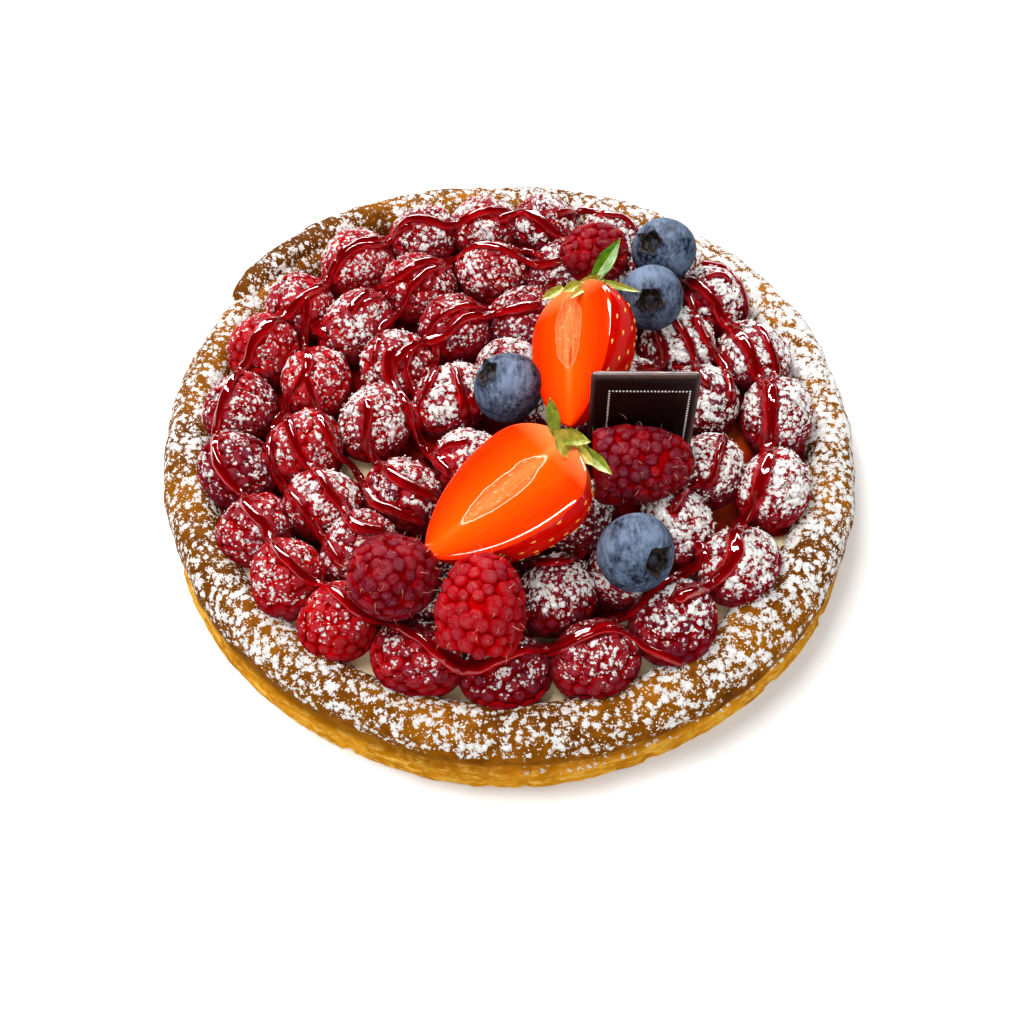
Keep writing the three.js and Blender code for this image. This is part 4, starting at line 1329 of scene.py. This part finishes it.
def strawberry_material(name, core_at, core_half, outline, pale, hollow):
    """Flesh, core and peel of a half. The core is an ellipse in the fruit's UV map, core_at from
    leaf to tip, core_half its half length and half width; outline is how bright its edge is,
    pale how light its inside and hollow how red the small hollow at its lower end."""
    material, tree, shader = new_material(
        name, (0.95, 0.13, 0.003), 0.35, Coat_Roughness=0.04, Specular_IOR_Level=0.0)
    uv = add(tree, "ShaderNodeUVMap", uv_map="fruit").outputs["UV"]
    split = add(tree, "ShaderNodeSeparateXYZ", {"Vector": uv})
    u, v = split.outputs["X"], split.outputs["Y"]
    wobble = ramp(tree, noise(tree, 170.0, 3.0), 0.3, 0.7, -0.5, 0.5)
    middle = maths(tree, "ABSOLUTE", maths(tree, "SUBTRACT", v, 0.5))
    du = maths(tree, "DIVIDE", maths(tree, "SUBTRACT", u, core_at), core_half[0])
    dv = maths(tree, "DIVIDE", middle, core_half[1])
    far = maths(tree, "ADD", maths(tree, "MULTIPLY", du, du), maths(tree, "MULTIPLY", dv, dv))
    far = maths(tree, "ADD", far, maths(tree, "MULTIPLY", wobble, 0.4))
    flesh = mixed(tree, ramp(tree, middle, 0.08, 0.4), (0.96, 0.1, 0.002), (0.93, 0.038, 0.001))
    streak = maths(tree, "MULTIPLY", ramp(tree, middle, 0.07, 0.0, 0.0, 0.5),
                   ramp(tree, u, 0.95, 0.6))
    flesh = mixed(tree, streak, flesh, (0.95, 0.28, 0.07))
    fibre_place = add(tree, "ShaderNodeMapping", {"Vector": uv, "Scale": (3.5, 60.0, 1.0)})
    fibre = noise(tree, 1.0, 3.0, vector=fibre_place.outputs[0])
    flesh = mixed(tree, ramp(tree, fibre, 0.5, 0.75, 0.0, 0.3), flesh, (0.96, 0.15, 0.02))
    flesh = mixed(tree, ramp(tree, u, 0.16, 0.01, 0.0, 0.75), flesh, (0.95, 0.33, 0.12))
    core = ramp(tree, far, 1.15, 0.5)
    inner = mixed(tree, ramp(tree, fibre, 0.35, 0.65), (0.93, 0.15, 0.03), (0.95, 0.36, 0.17))
    flesh = mixed(tree, maths(tree, "MULTIPLY", core, pale), flesh, inner)
    line_far = maths(tree, "ABSOLUTE", maths(tree, "SUBTRACT", far, 0.95))
    line = ramp(tree, line_far, 0.1, 0.02, 0.0, outline)
    fleck = maths(tree, "MULTIPLY", ramp(tree, noise(tree, 900.0, 3.0), 0.6, 0.68, 0.0, 0.45), core)
    flesh = mixed(tree, maths(tree, "MAXIMUM", line, fleck), flesh, (0.95, 0.6, 0.42))
    down_u = maths(tree, "DIVIDE", maths(tree, "SUBTRACT", u, 0.52), 0.09)
    down_v = maths(tree, "DIVIDE", maths(tree, "SUBTRACT", v, 0.515), 0.022)
    pit = maths(tree, "ADD", maths(tree, "MULTIPLY", down_u, down_u),
                maths(tree, "MULTIPLY", down_v, down_v))
    flesh = mixed(tree, ramp(tree, pit, 1.1, 0.4, 0.0, hollow), flesh, (0.75, 0.012, 0.001))
    peel = mixed(tree, noise(tree, 220.0, 3.0), (0.58, 0.002, 0.0012), (0.9, 0.012, 0.002))
    peel = mixed(tree, ramp(tree, u, 0.14, 0.02), peel, (0.85, 0.2, 0.05))
    colour = mixed(tree, attribute(tree, "cut"), peel, flesh)
    tree.links.new(colour, shader.inputs["Base Color"])
    ripple = maths(tree, "ADD", noise(tree, 300.0, 2.0), maths(tree, "MULTIPLY", fibre, 0.15))
    tree.links.new(bump(tree, ripple, 0.5, 0.5), shader.inputs["Normal"])
    tree.links.new(attribute(tree, "wet"), shader.inputs["Coat Weight"])
    return material


def set_uv(mesh, name, per_vertex):
    corners = np.zeros(len(mesh.loops), np.int32)
    mesh.loops.foreach_get("vertex_index", corners)
    layer = mesh.uv_layers.new(name=name)
    layer.data.foreach_set("uv", per_vertex[corners].astype(np.float32).ravel())


STRAWBERRY_FINISHES = {
    "strawberry_half_1": strawberry_material(
        "glazed strawberry, soft core", 0.33, (0.26, 0.16), 0.25, 0.65, 0.7),
    "strawberry_half_2": strawberry_material(
        "glazed strawberry, lined core", 0.455, (0.285, 0.12), 0.85, 0.4, 0.0),
}
for node, spot in STRAWBERRIES.items():
    grid, s, v, on_cut, wet = strawberry_loops(spot)
    points, faces = closed_grid(
        grid[:, ::-1], [-spot["length"] / 2, 0, 0.25 * spot["depth"]],
        [spot["length"] / 2, 0, 0.33 * spot["depth"]])
    uv = np.stack([s[:, ::-1].ravel(), 0.5 + 0.5 * v[:, ::-1].ravel()], -1)
    uv = np.concatenate([uv, [[0, 0.5], [1, 0.5]]])
    cut = np.concatenate([on_cut[:, ::-1].ravel(), [0.5, 0.5]])
    wet = np.concatenate([wet[:, ::-1].ravel(), [1, 1]])
    points = points @ euler_frame(spot["roll"], spot["pitch"], spot["yaw"]).T + np.array(spot["at"])
    piece = make_piece("flesh_" + node, points, faces, STRAWBERRY_FINISHES[node], "strawberry",
                       cut=cut, wet=wet)
    set_uv(piece.data, "fruit", uv)
    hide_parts(node)
print("strawberry halves:", list(STRAWBERRIES))

# %% [markdown]
# Seeds sit in staggered rows over the red skin: pointed golden grains a bit over a millimetre
# long. They lie along the berry and sink in by half. All seeds of a half are one piece, each
# with a few dozen faces.

# %% Strawberry seeds
def strawberry_seeds(spot, seed):
    """Spots on the skin at even steps along it and round it; each seed is a small pointed
    ellipsoid in the frame of the skin there."""
    rng = chance(seed)
    rows = np.arange(0.1, 0.95, 0.085)
    spots = np.concatenate([
        np.stack([np.full(9, row) + rng.normal(0, 0.006, 9),
                  (np.arange(9) + 0.28 + 0.5 * (k % 2)) / 9.3 * np.pi + rng.normal(0, 0.03, 9)], -1)
        for k, row in enumerate(rows)])

    def skin(s, turn):
        wide = berry_half_width(s)
        return np.stack([(s - 0.5) * spot["length"], -spot["width"] / 2 * wide * np.cos(turn),
                         spot["depth"] * (0.4 - wide * np.sin(turn))], -1)

    s, turn = spots.T
    at = skin(s, turn)
    along = skin(s + 0.01, turn) - skin(s - 0.01, turn)
    along /= np.linalg.norm(along, axis=1, keepdims=True)
    round_ = skin(s, turn + 0.02) - skin(s, turn - 0.02)
    round_ /= np.linalg.norm(round_, axis=1, keepdims=True)
    out = np.cross(along, round_)
    out /= np.linalg.norm(out, axis=1, keepdims=True)
    out *= np.sign((out * (at - [0, 0, 0.4 * spot["depth"]])).sum(1, keepdims=True))
    polar = np.radians([35, 75, 110, 150])[:, None]
    spin = np.linspace(0, 2 * np.pi, 8, endpoint=False)[None, :]
    ring = np.stack(np.broadcast_arrays(0.72 * np.cos(polar), 0.4 * np.sin(polar) * np.cos(spin),
                                        0.3 * np.sin(polar) * np.sin(spin)), -1)
    bead, faces = closed_grid(ring, [0.85, 0, 0], [-0.65, 0, 0])
    points = (at[:, None, :] + bead[None, :, :1] * along[:, None, :]
              + bead[None, :, 1:2] * round_[:, None, :] + bead[None, :, 2:] * out[:, None, :])
    first = (np.arange(len(at)) * len(bead))[:, None, None]
    faces = [(part[None] + first).reshape(-1, part.shape[1]) for part in faces]
    turned = points.reshape(-1, 3) @ euler_frame(spot["roll"], spot["pitch"], spot["yaw"]).T
    return turned + np.array(spot["at"]), faces


seed_finish, tree, shader = new_material("strawberry seed", (0.85, 0.5, 0.05), 0.35)
tone = mixed(tree, noise(tree, 260.0), (0.75, 0.22, 0.01), (0.95, 0.62, 0.1))
tree.links.new(tone, shader.inputs["Base Color"])
for number, (node, spot) in enumerate(STRAWBERRIES.items()):
    points, faces = strawberry_seeds(spot, 200 + number)
    make_piece("seeds_" + node, points, faces, seed_finish, None)
    print("seeds on", node, "faces:", sum(len(part) for part in faces))

# %% [markdown]
# Scraps of the leafy cap stay on each half. A leaf is a thin pointed blade: its middle line
# bends upward along a quarter circle, its width swells and closes, and its two halves fold up
# from the middle rib. Leaves grow from the blunt end of the fruit, which is found in the fruit's
# own frame; each leaf runs from there along a base and a tip pixel of the picture.

# %% Leaves
def leaf_surface(base, heading, lift, length, width, bend):
    """Blade points: line + side * v * width share + up * fold * size of v, on a front and a back
    sheet a quarter millimetre apart that meet at the edge; and how near each is to the rib."""
    heading = np.array(heading, float) / np.linalg.norm(heading)
    lift = np.array(lift, float) - np.dot(lift, heading) * heading
    lift /= np.linalg.norm(lift)
    side = np.cross(lift, heading)
    t = np.linspace(0, 1, 20)[:, None, None]
    v = np.linspace(-1, 1, 17)[None, :, None]
    line = (np.array(base) + heading * np.sin(t * bend) / bend * length
            + lift * (1 - np.cos(t * bend)) / bend * length)
    share = np.sin(np.pi * np.clip(t * 0.86 + 0.12, 0, 0.985)) ** 0.8 * (1 - 0.7 * t ** 6) + 0.03
    fold = 0.7 * np.abs(v) + 0.16 * v ** 2 * np.sin(11 * t + 3 * v)
    blade = line + (side * v + lift * fold) * share * width / 2
    thick = 0.14 * (1 - v ** 2) * share
    front, behind = blade + lift * thick, blade - lift * thick
    rings = np.concatenate([front, behind[:, ::-1]], 1)
    rib = 1 - np.abs(v[..., 0]) + 0 * t[..., 0]
    rib = np.concatenate([rib, rib[:, ::-1]], 1)
    points, faces = closed_grid(rings, rings[0].mean(0), rings[-1].mean(0))
    return points, faces, np.concatenate([rib.ravel(), [1, 1]])


leaf_finish, tree, shader = new_material("strawberry leaf", (0.13, 0.25, 0.01), 0.4)
vein = ramp(tree, noise(tree, 650.0, 4.0, rough=0.6), 0.3, 0.7)
age = attribute(tree, "age")
green = mixed(tree, vein, (0.045, 0.15, 0.003), (0.18, 0.33, 0.012))
old = mixed(tree, vein, (0.3, 0.3, 0.03), (0.68, 0.62, 0.14))
blade = mixed(tree, age, green, old)
rib_line = ramp(tree, attribute(tree, "rib"), 0.88, 1.0, 0.0, 0.5)
blade = mixed(tree, rib_line, blade, (0.42, 0.5, 0.14))
tree.links.new(blade, shader.inputs["Base Color"])
tree.links.new(bump(tree, vein, 0.2, 0.5), shader.inputs["Normal"])


def screen_point(pixel, through, toward=0.0):
    """The point on a pixel's sight line that is as far from the camera as the point "through",
    less the millimetres "toward"."""
    ray = pixel_rays([pixel])[0]
    depth = (cam_place / MM - np.asarray(through)) @ back - toward
    return cam_place / MM + ray * depth / -(ray @ back)


# base pixel, tip pixel, mm nearer the camera at base and tip, width in mm, bend, age
LEAVES = {
    "strawberry_half_1": [
        ((593, 281), (618, 243), 4, 2, 4.6, 0.35, 0.0),
        ((597, 280), (641, 294), 3, 5, 1.9, 0.4, 0.5),
        ((563, 287), (540, 302), 5, 6, 2.6, 0.6, 0.8),
        ((580, 284), (562, 292), 5, 6, 3.0, 0.5, 0.9),
        ((604, 279), (578, 283), 4, 5, 2.8, 0.5, 0.6),
        ((590, 282), (569, 300), 5, 7, 2.2, 0.4, 1.0),
    ],
    "strawberry_half_2": [
        ((585, 458), (550, 428), 2, 5, 7.0, 0.6, 0.95),
        ((556, 434), (592, 443), 3, 5, 4.2, 0.5, 0.75),
        ((556, 436), (549, 396), 1, 3, 3.4, 0.5, 0.35),
        ((581, 447), (614, 478), 1, 3, 3.4, 0.7, 0.4),
        ((580, 456), (576, 496), 1, 2, 3.2, 0.6, 0.6),
        ((566, 440), (596, 468), 3, 5, 3.4, 0.5, 1.0),
    ],
}
for node, leaves in LEAVES.items():
    spot = STRAWBERRIES[node]
    turn_fruit = euler_frame(spot["roll"], spot["pitch"], spot["yaw"])
    blunt_end = turn_fruit @ [-0.47 * spot["length"], 0, 0.3 * spot["depth"]] + np.array(spot["at"])
    for number, (base, tip, near_base, near_tip, width, bend, age_share) in enumerate(leaves):
        start = screen_point(base, blunt_end, near_base)
        heading = screen_point(tip, blunt_end, near_tip) - start
        length = np.linalg.norm(heading) * 1.05
        points, faces, rib = leaf_surface(start, heading, back, length, width, bend)
        make_piece(f"leaf_{node[-1]}_{number + 1}", points, faces, leaf_finish, None,
                   age=np.full(len(points), age_share), rib=rib)
    print("leaves on", node, len(leaves), "growing at, mm:", np.round(blunt_end, 1))

# %% [markdown]
# A square plaque of dark chocolate stands on edge among the berries. It was moulded, so its
# edges are bevelled and its face carries a frame of small white dots. The slab is a square with
# rounded corners carried through its thickness: each ring of points is drawn in by the bevel,
# and the faces close to a pole in the middle of each side.

# %% Chocolate plaque
PLAQUE = dict(at=(34.6, -17.2, 42.4), width=28.0, height=30.0, thickness=3.0, lean=4)


def rounded_square(half_w, half_h, corner, count=20):
    """Counter-clockwise outline: four quarter circles joined by straight sides."""
    turn = np.linspace(0, np.pi / 2, count)
    parts = []
    for quarter, (sx, sy) in enumerate(((1, 1), (-1, 1), (-1, -1), (1, -1))):
        a = turn + quarter * np.pi / 2
        parts.append(np.stack([sx * (half_w - corner) + corner * np.cos(a),
                               sy * (half_h - corner) + corner * np.sin(a)], -1))
    return np.concatenate(parts)


def plaque_frame(points):
    """From plaque space (x right, y up, z toward the viewer) to the tart."""
    turn = np.radians(90 - PLAQUE["lean"])
    about = np.array([[1, 0, 0], [0, np.cos(turn), -np.sin(turn)],
                      [0, np.sin(turn), np.cos(turn)]])
    return np.asarray(points) @ about.T + np.array(PLAQUE["at"])


def plaque_slab():
    w, h, t = PLAQUE["width"] / 2, PLAQUE["height"] / 2, PLAQUE["thickness"] / 2
    steps = [(4.0, -t), (1.4, -t), (1.05, -t), (0.75, -t + 0.12), (0.2, -t + 0.7),
             (0.05, -t + 0.95), (0.0, -t + 1.2), (0.0, t - 1.5), (0.05, t - 1.2),
             (0.25, t - 0.9), (1.25, t - 0.12), (1.5, t), (1.9, t), (4.0, t)]
    rings, worn = [], []
    for inset, z in steps:
        flat = rounded_square(w - inset, h - inset, max(1.4 - 0.3 * inset, 0.4))
        rings.append(np.column_stack([flat, np.full(len(flat), z)]))
        # the bevels and side wall are marked for a painted highlight, a lighter brown where the
        # bevel catches the light
        worn.append(np.full(len(flat), float(inset < 1.2)))
    points, faces = closed_grid(np.stack(rings), [0, 0, -t], [0, 0, t])
    return points, faces, np.concatenate([np.ravel(worn), [0, 0]])


chocolate_finish, tree, shader = new_material(
    "dark chocolate", (0.014, 0.0045, 0.005), 0.3, Specular_IOR_Level=0.35)
bloomy = noise(tree, 120.0, 4.0)
cocoa = mixed(tree, bloomy, (0.008, 0.0025, 0.003), (0.026, 0.009, 0.01))
# painted highlight: the bevelled edges are painted lighter brown, as if catching the light
edge_sheen_share = ramp(tree, attribute(tree, "worn"), 0.0, 1.0, 0.0, 0.95)
cocoa = mixed(tree, edge_sheen_share, cocoa, (0.1, 0.056, 0.048))
tree.links.new(cocoa, shader.inputs["Base Color"])
tree.links.new(ramp(tree, noise(tree, 400.0, 3.0), 0.3, 0.7, 0.26, 0.42),
               shader.inputs["Roughness"])
tree.links.new(bump(tree, noise(tree, 500.0, 3.0), 0.06, 0.5), shader.inputs["Normal"])
points, faces, worn = plaque_slab()
plaque = make_piece("plaque_slab", plaque_frame(points), faces, chocolate_finish, "chocolate",
                    worn=worn)
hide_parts("chocolate_plaque")

# %% [markdown]
# The frame of dots is white cocoa butter, printed on the plaque. Each dot stands proud by a tenth
# of a millimetre or two, so it is a low dome and not paint. One dot is made and copied along the
# four sides.

# %% Dotted frame
def dotted_frame(half, per_side, dot_mm, shift):
    """Dots at even steps round a square, each a low dome of two rings and a pole."""
    marks = np.linspace(-half, half, per_side, endpoint=False)
    sides = [np.stack([marks, np.full(per_side, half)], -1),
             np.stack([np.full(per_side, half), -marks], -1),
             np.stack([-marks, np.full(per_side, -half)], -1),
             np.stack([np.full(per_side, -half), marks], -1)]
    at = np.concatenate(sides) + shift
    turn = np.linspace(0, 2 * np.pi, 8, endpoint=False)
    rings = np.stack([np.stack([r * np.cos(turn), r * np.sin(turn), np.full(8, z)], -1)
                      for r, z in ((0.5, -0.3), (0.5, 0.1), (0.38, 0.3))]) * dot_mm
    dot, faces = closed_grid(rings, [0, 0, -0.3 * dot_mm], [0, 0, 0.36 * dot_mm])
    lifted = np.column_stack([at, np.full(len(at), PLAQUE["thickness"] / 2)])
    points = lifted[:, None, :] + dot[None]
    first = (np.arange(len(at)) * len(dot))[:, None, None]
    return points.reshape(-1, 3), [
        (part[None] + first).reshape(-1, part.shape[1]) for part in faces]


print_finish, tree, shader = new_material("white cocoa butter", (0.82, 0.78, 0.76), 0.45)
tree.links.new(mixed(tree, noise(tree, 800.0), (0.7, 0.64, 0.62), (0.92, 0.9, 0.88)),
               shader.inputs["Base Color"])
points, faces = dotted_frame(10.3, 23, 0.6, (1.1, -0.4))
make_piece("plaque_dots", plaque_frame(points), faces, print_finish, None)
print("plaque and", 4 * 23, "dots")

# %% [markdown]
# On the sugared places stand grains and small lumps that catch the light on their own. The icing
# pattern draws the broken crust; these give it its rough edge. Each grain is an eight-faced
# crystal of chance size and turn. Those on the shell are one piece and those on the fruit another.

# %% Sugar grains
def grain_mesh(at, up, low_mm, high_mm, seed):
    """Octahedra: six corners at plus and minus three chance axes, flattened along up."""
    rng = chance(seed)
    count = len(at)
    size = rng.uniform(low_mm, high_mm, (count, 1)) / 2
    side = np.cross(up, rng.normal(size=(count, 3)))
    side /= np.linalg.norm(side, axis=1, keepdims=True)
    third = np.cross(up, side)
    a, b = size * rng.uniform(0.8, 1.5, (count, 1)), size * rng.uniform(0.7, 1.1, (count, 1))
    c = size * rng.uniform(0.5, 0.9, (count, 1))
    corners = [side * a, third * b, -side * a, -third * b, up * c, -up * c]
    points = at[:, None, :] + np.stack(corners, 1)
    top = fan_faces(4, np.arange(4), False)
    low = fan_faces(5, np.arange(4), True)
    first = (np.arange(count) * 6)[:, None, None]
    faces = (np.concatenate([top, low])[None] + first).reshape(-1, 3)
    return points.reshape(-1, 3), [faces]


def rope_grains(count, seed):
    """Grains at chance places of the rope, kept where a second chance falls under its cover."""
    rng = chance(seed)
    turn = rng.uniform(ROPE_START + 16, ROPE_END - 4, count)
    ring = rng.uniform(-0.35, np.pi + 0.2, count)
    keep = rng.uniform(size=count) < 1.4 * rope_cover(turn, ring)
    turn, ring = turn[keep], ring[keep]
    at = rope_surface(turn, ring)
    up = rope_surface(turn, ring + 0.02) - at
    along = rope_surface(turn + 0.2, ring) - at
    up = np.cross(along, up)
    up /= np.linalg.norm(up, axis=1, keepdims=True)
    outward = np.stack([np.cos(ring) * np.cos(np.radians(turn)),
                        np.cos(ring) * np.sin(np.radians(turn)), np.sin(ring)], -1)
    up *= np.sign((up * outward).sum(1, keepdims=True))
    return at, up


grain_finish, tree, shader = new_material(
    "sugar grain", ICING_WHITE, 0.8, Subsurface_Weight=0.0)
tree.links.new(mixed(tree, noise(tree, 700.0), (0.8, 0.76, 0.72), (0.95, 0.94, 0.92)),
               shader.inputs["Base Color"])
at, up = rope_grains(15000, 301)
points, faces = grain_mesh(at, up, 0.2, 0.6, 302)
make_piece("sugar_on_shell", points, faces, grain_finish, None, smooth=False)
print("grains on the shell:", len(at))


GRAINS_PER_LUMP = 7


def berry_grains(count, seed):
    """Small clusters of grains at chance points of the berries' skins, more where more sugar
    lies."""
    rng = chance(seed)
    skins = np.concatenate([points for points, rise, cover in berry_skins])
    covers = np.concatenate([cover * (rise > 0.1) for points, rise, cover in berry_skins])
    chances = covers ** 1.5
    lumps = rng.choice(len(skins), count // GRAINS_PER_LUMP, p=chances / chances.sum())
    chosen = np.repeat(lumps, GRAINS_PER_LUMP)
    count = len(chosen)
    at = skins[chosen] + rng.normal(0, 0.33, (count, 3)) * [1, 1, 0.25]
    return at, np.tile([0.0, 0.0, 1.0], (count, 1)) + rng.normal(0, 0.25, (count, 3))


at, up = berry_grains(14000, 303)
up /= np.linalg.norm(up, axis=1, keepdims=True)
points, faces = grain_mesh(at, up, 0.2, 0.55, 304)
make_piece("sugar_on_berries", points, faces, grain_finish, None, smooth=False)
print("grains on the berries:", len(at))

# %% [markdown]
# The floor is a plain pale plane that fades into the sky. It isn't part of the tart.

# %% Floor
floor_finish, tree, shader = new_material("pale floor", (0.86, 0.86, 0.86), 0.6)
tree.links.new(mixed(tree, noise(tree, 3.0), (0.85, 0.85, 0.85), (0.88, 0.88, 0.88)),
               shader.inputs["Base Color"])
floor_mesh = bpy.data.meshes.new("floor")
floor_mesh.from_pydata([(-3, -3, 0), (3, -3, 0), (3, 3, 0), (-3, 3, 0)], [], [(0, 1, 2, 3)])
floor_mesh.materials.append(floor_finish)
floor = bpy.data.objects.new("floor", floor_mesh)
bpy.context.scene.collection.objects.link(floor)

# %% Sizes and finish
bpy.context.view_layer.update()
triangles = sum(len(p.vertices) - 2 for o in bpy.data.objects if o.type == "MESH"
                and not o.get("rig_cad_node") for p in o.data.polygons)
print("triangles:", triangles)
